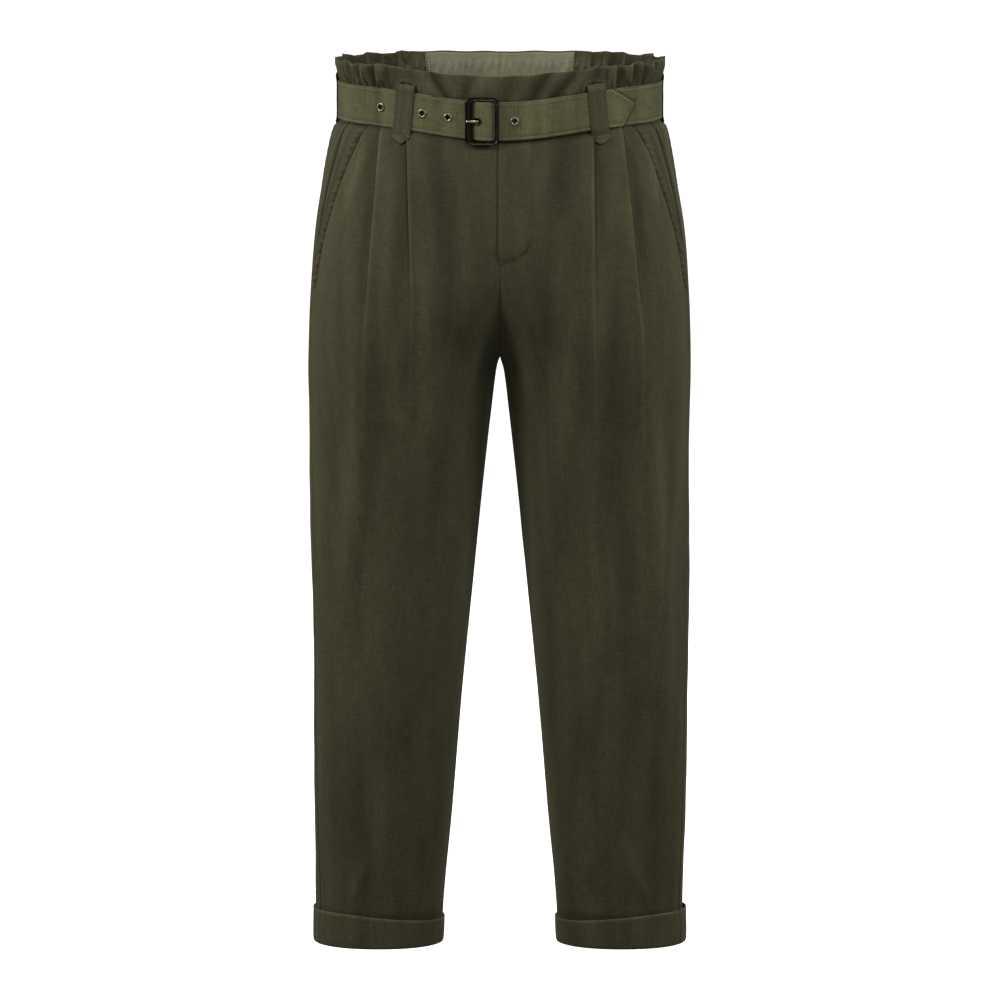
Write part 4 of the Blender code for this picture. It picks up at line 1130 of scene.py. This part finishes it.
def make_headers():
    seam = RING.seam
    return [
        make_header("header_front_left", -seam + SEAM / 2, -SEAM / 2),
        make_header("header_front_right", SEAM / 2, seam - SEAM / 2),
        make_header("header_back", seam + SEAM / 2, 2 * RING.length - seam - SEAM / 2),
    ]


def make_lining(node, start, end, low, top_gap, material, puckers):
    """A strip inside the header: the smooth facing, or an elastic casing with its puckers."""
    arcs = np.linspace(start, end, int((end - start) / 1.6))
    grid, uv = [], []
    for share in np.linspace(0.0, 1.0, 15):
        high = header_height(arcs) - top_gap
        height = low + (high - low) * share
        rise = (height - SEAM / 2) / (header_height(arcs) - SEAM / 2)
        sunk = 2.3 + 0.4 * bell(share, 0.2)
        bulk = puckers * (1.0 - 2 * abs(share - 0.5)) ** 0.5
        ripple = bulk * (0.8 + 0.9 * np.sin(arcs / 1.25 + 1.6 * np.sin(arcs / 6.0)))
        wrinkle = (1.0 - puckers) * 0.5 * np.sin(arcs / 13.0 + share * 2.5) * np.sin(share * 3.0)
        grid.append(header_points(arcs, rise, sunk + ripple + wrinkle + 0.3))
        uv.append(flat_row(arcs, height))
    grid = np.array(grid)
    item = shell(f"{node}_cloth", grid, 0.8, MATERIALS[material], uv, away_from_axis(grid))
    set_tone(item, lining_tone(arcs, puckers))
    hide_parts(node)
    return item


def lining_tone(arcs, puckers):
    """Painted shade at the facing's centre seam, its ends and its pressed lines, or painted light on a
    casing's puckers and painted shade between them.
    """
    arc, share = np.meshgrid(arcs, np.linspace(0.0, 1.0, 15))
    ends = np.minimum(arc - arcs[0], arcs[-1] - arc)
    seam = -0.5 * bell(arc - RING.length, 1.2) - 0.4 * bell(ends, 2.0)
    pressed = -0.16 * bell(share - 0.62 - 0.05 * np.sin(arc / 11.0), 0.07) * (1.0 + np.sin(arc / 5.0))
    gathers = 0.5 * np.sin(arcs / 1.25 + 1.6 * np.sin(arcs / 6.0)) - 0.2
    return np.clip((1.0 - puckers) * (seam + pressed) + puckers * gathers, -1.0, 1.0)


def make_linings():
    middle = RING.length
    gap = SEAM + 1.0
    return [
        make_lining("back_facing", middle - FACING_HALF, middle + FACING_HALF, 1.0, 1.4,
                    "facing", 0.0),
        make_lining("casing_right", RING.seam + 1.0, middle - FACING_HALF - gap, 1.0, 15.0,
                    "loop", 1.0),
        make_lining("casing_left", middle + FACING_HALF + gap, 2 * middle - RING.seam - 1.0,
                    1.0, 15.0, "loop", 1.0),
    ]


# ---------------------------------------------------------------- cuffs

def make_cuff(side_name):
    """A turned-up band: rolled top edge, soft outer face, fold at the hem, inner layer."""
    side = SIDES[side_name]
    here = section(HEM)
    count = 180
    turns = np.linspace(0.0, here.length, count)
    outside = CUFF_OUT + CLOTH
    inside = -CUFF_OUT - CLOTH
    top_high = CUFF_HIGH
    profile = [(top_high - 1.2, 0.25), (top_high - 0.3, CUFF_OUT + 0.1), (top_high, outside - 0.9)]
    profile += [(top_high - 0.5, outside - 0.1), (top_high - 1.6, outside + 0.25)]
    profile += [(h, outside + 0.35 * math.sin(math.pi * h / top_high)) for h in
                np.linspace(top_high - 4.0, 4.0, 12)]
    profile += [(2.2, outside - 0.1), (0.9, outside - 0.5), (0.2, CUFF_OUT), (0.0, 0.0)]
    profile += [(0.2, inside * 0.7), (1.0, inside - 0.6), (2.6, inside - 1.2)]
    profile += [(h, inside - CLOTH) for h in np.linspace(4.5, CUFF_INSIDE, 4)]
    grid, uv = [], []
    run = 0.0
    for i, (high, out) in enumerate(profile):
        if i:
            run += math.hypot(high - profile[i - 1][0], out - profile[i - 1][1])
        forward = np.cos(math.pi * turns / here.seam)
        behind = np.cos(math.pi * (turns - here.seam) / (here.length - here.seam))
        slope = CUFF_SLOPE * np.where(turns < here.seam, forward, -behind) - 0.6
        height = HEM + high - slope * high / top_high
        x, y, out_x, out_y = section(float(HEM + high)).at(turns)
        at_end = (turns < 1e-6) | (turns > here.length - 1e-6)
        out_x = np.where(at_end, -1.0, out_x)
        out_y = np.where(at_end, 0.0, out_y)
        uneven = 0.35 * np.sin(turns / 21.0 + side) + 0.22 * np.sin(turns / 9.0 + high / 9.0)
        ridge = 0.8 * bell(turns - here.seam - 2.5, 2.0) - 0.7 * bell(turns - here.seam + 0.6, 0.9)
        on_face = smooth_step(0.5, 1.6, out)
        reach = out + (uneven + ridge) * on_face
        grid.append(np.stack((side * (x + reach * out_x), y + reach * out_y, height), -1))
        uv.append(flat_row(turns, run))
    grid = np.array(grid)
    apart = (grid[:, :1] - grid[:, -1:]) / 2
    grid -= apart * bell(turns, 5.0)[None, :, None]
    grid += apart * bell(turns - here.length, 5.0)[None, :, None]
    axis = (side * (level("outer", HEM) + level("inner", HEM)) / 2, 0.0)
    way = away_from_axis(grid, axis)
    way[20:] = 0.0
    item = shell(f"cuff_{side_name}_cloth", grid, 0.7, MATERIALS["main"], uv, way)
    tone = np.zeros((len(profile), count))
    # Painted highlight along the cuff's rolled top edge, and painted light on the fold at the hem.
    tone[1:5] = 0.75
    tone[-9:-7] = 0.3
    set_tone(item, tone)
    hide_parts(f"cuff_{side_name}")
    return item


# ---------------------------------------------------------------- belt

def belt_route():
    """The strap's middle line as (arc, out) places, from its fixed end round to its tip."""
    whole = 2 * RING.length
    route = [(waist_arc(BAR_X + 2.2), BAR_OUT + STRAP_TURN)]
    for step in range(13):
        turn = math.pi / 2 + math.pi * step / 12
        route.append((waist_arc(BAR_X + STRAP_TURN * math.cos(turn)),
                      BAR_OUT + STRAP_TURN * math.sin(turn)))
    start = route[-1][0]
    end = waist_arc(BEHIND_BUCKLE[0][0]) + whole
    turns = 560
    route += [(start + (end - start) * step / turns, UNDER_LAYER) for step in range(1, turns)]
    places = [waist_arc(x) + whole for x, _ in BEHIND_BUCKLE]
    outs = [out for _, out in BEHIND_BUCKLE]
    tip = waist_arc(TIP_X) + whole
    step = 1.0
    for arc in np.arange(places[0], tip - 0.5, step):
        route.append((arc, float(np.interp(arc, places, outs))))
    route.append((tip, OVER_LAYER))
    return np.array(route)


def strap_edges(arc):
    """Heights of the strap's lower and upper edges, drawn in to a point at its tip."""
    start = 2 * RING.length
    tip = waist_arc(TIP_X)
    top = np.interp(arc - start, (waist_arc(TIP_TOP_X), tip), (BELT_HIGH / 2, 3.2))
    low = np.interp(arc - start, (waist_arc(TIP_LOW_X), tip), (-BELT_HIGH / 2, 0.8))
    return low, top


def belt_surface(route, share, lift=0.0):
    """Points on the strap's outer face: share runs from 0 at its lower edge to 1."""
    ahead = unit(np.gradient(route, axis=0))
    face = np.stack((-ahead[:, 1], ahead[:, 0]), -1)
    arc = route[:, 0]
    low, top = strap_edges(arc)
    height = low + (top - low) * share
    near_edge = np.minimum(height - low, top - height)
    wave = 0.28 * np.sin(arc / 27.0 + share * 2.0) * np.sin(arc / 61.0 + 1.0)
    half = WEBBING / 2 - 0.32 * bell(near_edge - 2.7, 0.7) - 0.5 * bell(near_edge, 0.5) + wave * 0.5
    half = half + lift
    return waist_points(arc + half * face[:, 0], route[:, 1] + half * face[:, 1], height), height


def strap_tone(route, shares):
    """Painted shade round the tip, in the last eyelet's hole and beside the woven edges, a painted
    highlight along the tip's edge, and a faint mottle.
    """
    low, top = strap_edges(route[:, 0])
    height = low + (top - low) * shares[:, None]
    arc = np.broadcast_to(route[:, 0], height.shape)
    start = 2 * RING.length
    x = arc - start
    over = x > waist_arc(BEHIND_BUCKLE[0][0])
    place = wrapped(arc)
    tip_low, tip_top = strap_edges(start + np.abs(place))
    outside = np.maximum(0.47 * (tip_low - height), 0.8 * (height - tip_top))
    beyond = np.maximum(outside, 0.85 * (place - waist_arc(TIP_X)))
    # Painted shadow of the tip on the layer beneath it.
    shaded = ~over & (place > waist_arc(TIP_TOP_X) - 10.0)
    tone = np.where(shaded, -1.4 * bell(beyond - 0.8, 2.1), 0.0)
    near_edge = np.minimum(height - low, top - height)
    # Painted highlight along the tip's edge.
    tip_edge_highlight = np.where(over & (x > waist_arc(TIP_TOP_X)), 0.9 * bell(near_edge - 0.3, 0.8), 0.0)
    # Painted shade in the last eyelet's hole, on the strap's inner layer seen through it.
    hole = np.hypot(place - waist_arc(EYELETS_X[-1]), height)
    dark = np.where(over, 0.0, -2.0 * smooth_step(EYELET_HOLE + 2.2, EYELET_HOLE + 0.6, hole))
    mottle = 0.14 * np.sin(arc / 7.0 + 2.0 * np.sin(height / 6.0)) * np.sin(arc / 19.0 + height / 9.0)
    # The last term is painted shade in a line just inside each edge.
    return tone + tip_edge_highlight + dark + mottle - 0.35 * bell(near_edge - 4.4, 0.9)


def make_belt():
    route = belt_route()
    shares = np.concatenate(((0.0, 0.012, 0.03, 0.05, 0.068, 0.088, 0.12), np.linspace(0.17, 0.83, 12),
                             (0.88, 0.912, 0.932, 0.95, 0.97, 0.988, 1.0)))
    grid, uv = [], []
    for share in shares:
        points, height = belt_surface(route, share)
        grid.append(points)
        uv.append(flat_row(route[:, 0], height))
    grid = np.array(grid)
    back = []
    for share in shares:
        near = min(share, 1.0 - share) * BELT_HIGH
        back.append(np.full(len(route), WEBBING - 0.4 - 0.9 * float(bell(near, 0.5))))
    turned = away_from_axis(grid)
    turned[:, :12] = 0.0
    item = shell("belt_cloth", grid, np.array(back), MATERIALS["belt"], uv, turned)
    set_tone(item, strap_tone(route, shares))
    cut_holes(item)
    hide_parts("belt")
    return item


def strap_out(x):
    places, outs = zip(*BEHIND_BUCKLE)
    return float(np.interp(x, places, outs))


def eyelet_frame(x):
    """Place of an eyelet, the way its face looks, and the ways along and across the strap."""
    slope = math.atan2(strap_out(x + 1.0) - strap_out(x - 1.0), 2.0)
    arc = waist_arc(x)
    middle = waist_points(arc, strap_out(x), 0.0)
    ahead = waist_points(arc + 1.0, strap_out(x), 0.0) - waist_points(arc - 1.0, strap_out(x), 0.0)
    ahead[2] = 0.0
    ahead = unit(ahead)
    outward = np.array((ahead[1], -ahead[0], 0.0))
    facing = outward * math.cos(slope) - ahead * math.sin(slope)
    along = ahead * math.cos(slope) + outward * math.sin(slope)
    return middle, facing, along, np.cross(facing, along)


def lathe(x, outline, room, sides):
    """Rings about an eyelet's axis from (radius, out) points, longer by room at the hole."""
    middle, facing, along, upright = eyelet_frame(x)
    turn = np.arange(sides) * 2 * math.pi / sides
    rings = []
    for radius, out in outline:
        long = radius + room * (EYELET_RIM - radius) / (EYELET_RIM - EYELET_HOLE)
        rings.append(middle + facing * out + np.outer(np.cos(turn), along) * long
                     + np.outer(np.sin(turn), upright) * radius)
    return np.concatenate(rings)


def cut_holes(item):
    """Cut the eyelet holes through the strap's outer layer."""
    sides = 24
    verts, faces = [], []
    for number, x in enumerate(EYELETS_X):
        room = PRONG_ROOM * 1.4 if number == BUCKLE_EYELET else 0.0
        reach = WEBBING / 2 + (0.15 if x > 0.0 else 0.5)
        points = lathe(x, ((EYELET_HOLE + 0.5, -reach - 0.2), (EYELET_HOLE + 0.5, reach + 0.6)),
                       room, sides)
        start = len(verts)
        verts += points.tolist()
        faces += ring_faces(2, sides, False, start) + end_faces(2, sides, start)
    cutter = put("holes", plain_mesh("holes", verts, faces))
    modifier = item.modifiers.new("holes", "BOOLEAN")
    modifier.operation = "DIFFERENCE"
    modifier.object = cutter
    graph = bpy.context.evaluated_depsgraph_get()
    made = bpy.data.meshes.new_from_object(item.evaluated_get(graph), depsgraph=graph)
    item.modifiers.clear()
    item.data = made
    bpy.data.objects.remove(cutter)


def make_eyelets():
    """Rolled metal rims, each with a barrel through its hole."""
    half = WEBBING / 2
    outline = [(EYELET_HOLE + 0.2, -half), (EYELET_HOLE, half), (EYELET_HOLE + 0.05, half + 0.7)]
    for step in range(9):
        turn = math.pi - math.pi * step / 8
        outline.append(((EYELET_HOLE + EYELET_RIM) / 2 + 1.08 * math.cos(turn),
                        half + 0.55 + 0.8 * math.sin(turn)))
    outline += [(EYELET_RIM - 0.1, half + 0.1), (EYELET_HOLE + 0.45, half + 0.1),
                (EYELET_HOLE + 0.45, -half)]
    sides = 40
    for number, x in enumerate(EYELETS_X):
        room = PRONG_ROOM if number == BUCKLE_EYELET else 0.0
        points = lathe(x, outline, room, sides)
        node = f"eyelet_{number + 1}"
        faces = [f[::-1] for f in ring_faces(len(outline), sides)]
        # The eyelet the prong passes through takes the dark buckle metal: painted shade for its place
        # inside the buckle frame.
        metal = MATERIALS["buckle" if number == BUCKLE_EYELET else "eyelet"]
        item = new_piece(f"{node}_metal", points, faces, metal, None)
        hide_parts(node)


# ---------------------------------------------------------------- buckle and prong

def buckle_points(x, out, height):
    """Points by the buckle, whose flat frame lies along the strap at its middle."""
    middle = waist_points(waist_arc(BUCKLE_X), 0.0, 0.0)
    ahead = waist_points(waist_arc(BUCKLE_X + 2), 0.0, 0.0)
    ahead = ahead - waist_points(waist_arc(BUCKLE_X - 2), 0.0, 0.0)
    ahead[2] = 0.0
    ahead = unit(ahead)
    outward = np.array((ahead[1], -ahead[0], 0.0))
    x, out, height = np.broadcast_arrays(np.asarray(x, float), out, height)
    return (middle + (x - BUCKLE_X)[..., None] * ahead + out[..., None] * outward
            + height[..., None] * np.array((0.0, 0.0, 1.0)))


def rounded_outline(low_x, high_x, low_z, high_z, corner, steps):
    """A rectangle's outline with round corners, and extra places along its sides."""
    outline = []
    for quarter, (x, z) in enumerate(((high_x, high_z), (low_x, high_z), (low_x, low_z),
                                      (high_x, low_z))):
        middle_x = x - corner if x == high_x else x + corner
        middle_z = z - corner if z == high_z else z + corner
        for step in range(steps + 1):
            turn = math.pi / 2 * (quarter + step / steps)
            outline.append((middle_x + corner * math.cos(turn), middle_z + corner * math.sin(turn)))
    return np.array(outline)


def make_buckle():
    """A flat cast frame: rounded bars with raised edges, and its round centre bar."""
    low_x = BUCKLE_X - BUCKLE_WIDE / 2
    high_x = BUCKLE_X + BUCKLE_WIDE / 2
    high_z = BUCKLE_HIGH / 2
    rim = rounded_outline(low_x, high_x, -high_z, high_z, BUCKLE_CORNER, 10)
    window = rounded_outline(low_x + BUCKLE_BARS["left"], high_x - BUCKLE_BARS["right"],
                             -high_z + BUCKLE_BARS["rail"], high_z - BUCKLE_BARS["rail"], 1.4, 10)
    half = BUCKLE_DEEP / 2
    shape = ((0.0, -half), (-0.02, -half * 0.3), (0.0, half * 0.45), (0.05, half * 0.85),
             (0.13, half), (0.22, half * 0.94), (0.32, half * 0.72), (0.5, half * 0.60),
             (0.68, half * 0.72), (0.78, half * 0.94), (0.87, half), (0.95, half * 0.85),
             (1.0, half * 0.45), (1.02, -half * 0.3), (1.0, -half))
    rings = []
    for share, out in shape:
        flat = window + (rim - window) * share
        rings.append(buckle_points(flat[:, 0], FRAME_OUT + out, flat[:, 1]))
    points = np.concatenate(rings)
    faces = ring_faces(len(shape), len(rim))
    item = new_piece("buckle_metal", points, faces, MATERIALS["buckle"], None)
    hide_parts("buckle")
    reach = high_z - BUCKLE_BARS["rail"] / 2
    route = ((-reach, FRAME_OUT - 0.2), (-reach + 1.6, BAR_OUT + 0.8), (-reach + 2.6, BAR_OUT),
             (reach - 2.6, BAR_OUT), (reach - 1.6, BAR_OUT + 0.8), (reach, FRAME_OUT - 0.2))
    path = [buckle_points(BAR_X, out, height) for height, out in route]
    bar = tube("buckle_bar_metal", path, BAR_RADIUS, MATERIALS["buckle"], 16)
    return item, bar


def make_prong():
    """The prong: from the centre bar, out through its eyelet, to rest on the left bar."""
    rest = FRAME_OUT + BUCKLE_DEEP / 2 + 0.95
    bar_top = BAR_OUT + BAR_RADIUS + SEAM + 0.75
    places = ((BAR_X + 2.2, bar_top), (BAR_X - 0.5, bar_top + 0.1), (BAR_X - 3.2, bar_top + 0.5),
              (-22.6, 8.4), (-24.4, rest - 0.5), (-26.4, rest + 0.15), (-29.0, rest + 0.1),
              (-32.0, rest), (-34.2, rest - 0.1), (-34.9, rest - 0.3))
    path = np.array([buckle_points(x, out, 0.0) for x, out in places])
    radius = (1.0, 1.2, 1.4, 1.45, 1.45, 1.4, 1.35, 1.25, 1.0, 0.5)
    item = tube("prong_metal", path, radius, MATERIALS["prong"], 14, 0.72)
    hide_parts("prong")
    return item


# ---------------------------------------------------------------- belt loops

def surface_out(arc, height):
    """How far the leg's surface stands out from the waist ring, straight out at a place."""
    x, y, out_x, out_y = RING.at(abs(arc))
    here = section(height)
    beside = (here.x - x) * -out_y + (here.y - y) * out_x
    ahead = (here.x - x) * out_x + (here.y - y) * out_y
    near = np.where(ahead > -30.0, np.abs(beside), 1e9)
    return float(ahead[int(np.argmin(near))])


def loop_rows():
    side = RING.front_arc(math.inf) + 14.0
    return (
        ("loop_front_left", waist_arc(-98.8), 1, LOOP_LEAN),
        ("loop_front_right", waist_arc(100.3), 2, -LOOP_LEAN),
        ("loop_side_left", -side, 1, 0.0),
        ("loop_side_right", side, 1, 0.0),
        ("loop_back", RING.length, 1, 0.0),
    )


def loop_route(arc, layers):
    """The loop's side view as (height, out), from its tucked top to its foot."""
    over = BELT_OUT + layers * (WEBBING + SEAM) + 0.45
    top = float(np.max(header_out_near(arc)))
    foot = surface_out(arc, LOOP_FOOT) + 0.5
    half = BELT_HIGH / 2
    return np.array((
        (half + 7.5, top - 1.2), (half + 6.6, top + 0.6), (half + 4.8, top + 1.2),
        (half + 2.6, max(over, top) + 0.9), (half + 0.6, over + 0.7), (half - 2.5, over + 0.1),
        (half - 10.0, over), (0.0, over + 0.15), (-half + 10.0, over), (-half + 2.5, over + 0.1),
        (-half - 0.6, over + 0.2), (-half - 2.6, (over + foot) / 2), (-half - 4.8, foot),
        (-half - 6.8, foot - 0.4), (-half - 7.6, foot - 1.6),
    ))


def header_out_near(arc):
    """Distances out of the header beside a loop's top."""
    around = arc + np.linspace(-LOOP_WIDE / 2, LOOP_WIDE / 2, 15)
    points = header_points(around, 0.55)
    ring = waist_points(around, 0.0, 0.0)
    return np.hypot(*(points - ring)[..., :2].T)


def make_loop(node, arc, layers, lean):
    """A folded strip of cloth over the belt, its edges pressed and its foot sewn down."""
    route = loop_route(arc, layers)
    run = np.concatenate(([0.0], np.cumsum(np.hypot(*np.diff(route, axis=0).T))))
    fine = np.linspace(0.0, run[-1], 46)
    height = np.interp(fine, run, route[:, 0])
    out = np.interp(fine, run, route[:, 1])
    out = np.convolve(np.pad(out, 2, "edge"), (0.1, 0.2, 0.4, 0.2, 0.1), "valid")
    across = np.concatenate(((-0.5, -0.485, -0.46, -0.43), np.linspace(-0.36, 0.36, 15),
                             (0.43, 0.46, 0.485, 0.5)))
    grid, uv = [], []
    for share in across:
        arcs = arc + lean * height / LOOP_TOP + LOOP_WIDE * share
        pressed = -0.55 * bell(abs(share) - 0.5, 0.03) + 0.25 * bell(abs(share) - 0.20, 0.05)
        soft = 0.22 * np.sin(height / 8.0 + share * 5.0)
        row = waist_points(arcs, out + 1.0 + pressed + soft * (0.5 - abs(share)), height)
        hung = waist_points(arc + lean * height / LOOP_TOP, 0.0, height)[:, 2]
        row[:, 2] += (hung - row[:, 2]) * smooth_step(LOOP_FOOT + 14.0, LOOP_FOOT + 3.0, height)
        grid.append(row)
        uv.append(flat_row(LOOP_WIDE * share, height))
    grid = np.array(grid)
    item = shell(f"{node}_cloth", grid, 1.0, MATERIALS["loop"], uv, away_from_axis(grid))
    # Painted shade along the loop's pressed edges and in a line inside each, with painted light on the
    # ridges nearer the middle.
    edge_shade_ridge_light = -0.7 * bell(abs(across) - 0.5, 0.035) + 0.35 * bell(abs(across) - 0.24, 0.06)
    set_tone(item, np.repeat((edge_shade_ridge_light - 0.3 * bell(abs(across) - 0.33, 0.04))[:, None], 46, 1))
    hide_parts(node)
    return item


def make_loop_tongue(name, centre, pointed):
    """The loop's end under the belt, sewn down round a curved or pointed outline."""
    side = 1 if centre > 0 else -1
    here = section(-34.0)
    middle = here.front_arc(abs(centre))
    grid, uv = [], []
    shares = np.linspace(-1.0, 1.0, 25)
    for share in shares:
        depth = 1.0 - (abs(share) if pointed else share * share)
        column, flat = [], []
        for down in np.linspace(0.0, 1.0, 9):
            arc = middle + side * share * (LOOP_WIDE / 2 + 0.2)
            level_out = dip(*here.at(middle)[:2], -30.0) - dip(*here.at(arc)[:2], -30.0)
            height = float(round(-24.0 + level_out - (5.0 + 7.4 * depth) * down, 2))
            lift = 1.7 - 0.6 * float(bell(down - 1.0, 0.05)) - 0.5 * float(bell(abs(share) - 1, 0.04))
            point, _ = leg_place(side, "front", height, arc, lift)
            column.append(point)
            flat.append((share * 10.0, height))
        grid.append(column)
        uv.append(flat)
    item = shell(name, np.array(grid), 0.9, MATERIALS["loop"], uv, np.array((0.0, -1.0, 0.0)))
    # Painted shadow round the tongue's sewn outline, and painted light a little above its lower end.
    down, across = np.meshgrid(np.linspace(0.0, 1.0, 9), np.abs(shares))
    rim = np.maximum(bell(down - 1.0, 0.09), bell(across - 1.0, 0.05))
    set_tone(item, 0.45 * bell(down - 0.75, 0.12) - 1.5 * rim)
    return item


# ---------------------------------------------------------------- sewing

def leg_line(side, face, places, lift=0.12):
    """A line of (point, normal) over a leg from (height, arc) places."""
    pairs = [leg_place(side, face, float(round(height, 2)), arc, lift) for height, arc in places]
    return [p for p, _ in pairs], [n for _, n in pairs]


def fly_places():
    places = [(height, FLY_WIDE) for height in np.arange(-30.0, FLY_TURN, -2.0)]
    for step in range(19):
        turn = math.pi / 2 * step / 18
        places.append((FLY_TURN - (FLY_TURN - FLY_END) * math.sin(turn),
                       max(0.4, FLY_WIDE * math.cos(turn))))
    return places


def mouth_places(inside, top, bottom):
    """Places beside the pocket mouth."""
    places = []
    for height in np.arange(top, bottom, -3.0):
        height = float(round(height, 2))
        places.append((height, mouth_inside(section(height), height, inside)))
    return places


def sew_legs():
    thread = MATERIALS["thread"]
    fly = leg_line(1, "front", fly_places())
    edge = leg_line(1, "front", [(h, 2.8) for h in np.arange(-28.0, FLY_END, -2.5)])
    stitches("fly_stitches", [fly, edge], thread, 2.2, 1.2, 0.28)
    for name, side in SIDES.items():
        mouth = [leg_line(side, "front", mouth_places(inside, -26.0, -194.0))
                 for inside in (1.9, 7.4)]
        stitches(f"pocket_stitches_{name}", mouth, thread, 2.3, 1.1, 0.27)
        tack = [leg_line(side, "front", [(h, section(h).seam - mouth_ahead(h) - 0.5 - d)
                                         for d in np.linspace(0.6, 8.6, 9)])
                for h in (-34.0, -34.8, -35.6)]
        stitches(f"pocket_tack_{name}", tack, MATERIALS["dark_thread"], 0.8, 0.2, 0.3)


def sew_belt():
    route = belt_route()
    lines = []
    past_bar = 16
    for share in (0.067, 0.933):
        points, _ = belt_surface(route, share, 0.05)
        normals = unit(np.cross(np.gradient(points, axis=0), (0.0, 0.0, 1.0)))
        if np.sum(normals * away_from_axis(points)) < 0:
            normals = -normals
        lines.append((points[past_bar:], normals[past_bar:]))
    stitches("belt_stitches", lines, MATERIALS["belt_thread"], 2.2, 1.1, 0.32)


def sew_linings():
    """Rows of stitches down both ends of the facing."""
    middle = RING.length
    lines = []
    for end in (-1, 1):
        for inset in (1.6, 5.0):
            heights = np.linspace(3.0, HEADER_BACK - 3.0, 30)
            arc = middle + end * (FACING_HALF - inset)
            rise = (heights - SEAM / 2) / (header_height(arc) - SEAM / 2)
            points = header_points(np.full(30, arc), rise, 3.5)
            lines.append((points, unit(-away_from_axis(points))))
    stitches("facing_stitches", lines, MATERIALS["dark_thread"], 1.8, 1.4, 0.26)


# ---------------------------------------------------------------- floor, light and camera

def swept(flat):
    """Places (out, up) along a sheet that turns up after a flat length."""
    turns = [math.pi / 2 * step / 12 for step in range(13)]
    return [(flat + 2500.0 * math.sin(t), 2500.0 * (1 - math.cos(t))) for t in turns]


def make_floor():
    """One pale sheet: a floor that sweeps up into a backdrop behind and at both sides."""
    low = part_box("cuff_left")[0].z / MM - 46.0
    back = [(-9000.0, low), *((y, low + up) for y, up in swept(3000.0)), (5500.0, 9000.0)]
    sides = [*swept(6000.0), (8500.0, 9000.0)]
    across = [(-x, up) for x, up in reversed(sides)] + sides
    grid = [[(x, y, max(z, low + up)) for y, z in back] for x, up in across]
    mesh = plain_mesh("floor", np.array(grid).reshape(-1, 3), quads_of(len(across), len(back)))
    mesh.shade_smooth()
    floor = put("floor", mesh)
    material, _, shader = node_tree("floor_pale")
    set_inputs(shader, {"Base Color": (0.86, 0.86, 0.86, 1.0), "Roughness": 0.9,
                        "Specular IOR Level": 0.1, "Emission Color": (1.0, 1.0, 1.0, 1.0),
                        "Emission Strength": 0.88})
    mesh.materials.append(material)
    floor.visible_diffuse = False
    floor.visible_glossy = False


def make_light(name, place, target, size, power, height):
    light = bpy.data.lights.new(name, "AREA")
    light.energy = power
    light.shape = "RECTANGLE"
    light.size = size
    light.size_y = height
    item = put(name, light)
    item.location = place
    aim = np.array(target) - np.array(place)
    item.rotation_mode = "QUATERNION"
    item.rotation_quaternion = Vector(aim).to_track_quat("-Z", "Y")


def make_lights():
    world = bpy.data.worlds.new("studio")
    bpy.context.scene.world = world
    world.use_nodes = True
    shade = world.node_tree.nodes["Background"]
    set_inputs(shade, {"Color": (1.0, 1.0, 1.0, 1.0), "Strength": 0.26})
    make_light("key", (-1.75, -1.10, 1.10), (0.0, 0.0, -0.18), 0.5, 32.0, 0.8)
    make_light("fill", (1.75, -1.05, 0.95), (0.0, 0.0, -0.18), 0.5, 20.0, 0.8)
    make_light("top", (0.1, -1.60, 1.60), (0.0, 0.0, -0.12), 0.6, 13.0, 0.4)
    make_light("left", (-2.2, 0.2, 0.7), (0.0, 0.0, -0.3), 0.8, 10.0, 1.6)
    make_light("right", (2.2, 0.2, 0.7), (0.0, 0.0, -0.3), 0.8, 10.0, 1.6)
    make_light("behind", (0.3, 2.4, 0.5), (0.0, 0.0, -0.4), 1.0, 17.0, 1.4)


def make_camera():
    data = bpy.data.cameras.new("camera")
    data.lens = VIEW_LENS
    data.sensor_width = 36.0
    data.clip_end = 60.0
    camera = put("camera", data)
    turn = math.radians(VIEW_ELEVATION)
    camera.location = (0.0, -VIEW_DISTANCE * math.cos(turn),
                       VIEW_TARGET_Z + VIEW_DISTANCE * math.sin(turn))
    camera.rotation_euler = (math.pi / 2 - turn, 0.0, 0.0)
    bpy.context.scene.camera = camera


# ---------------------------------------------------------------- the whole garment

def make_garment():
    for side_name in SIDES:
        make_leg(side_name, "front")
        make_leg(side_name, "back")
        make_pocket(side_name)
        make_cuff(side_name)
    make_fly_facing()
    make_headers()
    make_linings()
    make_belt()
    make_eyelets()
    make_buckle()
    make_prong()
    for node, arc, layers, lean in loop_rows():
        make_loop(node, arc, layers, lean)
    make_loop_tongue("loop_tongue_left", -102.6, True)
    make_loop_tongue("loop_tongue_right", 104.6, False)
    sew_legs()
    sew_belt()
    sew_linings()


def corners(box):
    return [list(corner) for corner in box]


make_camera()
make_lights()
make_floor()
make_garment()
bpy.context.scene.view_settings.view_transform = "Standard"
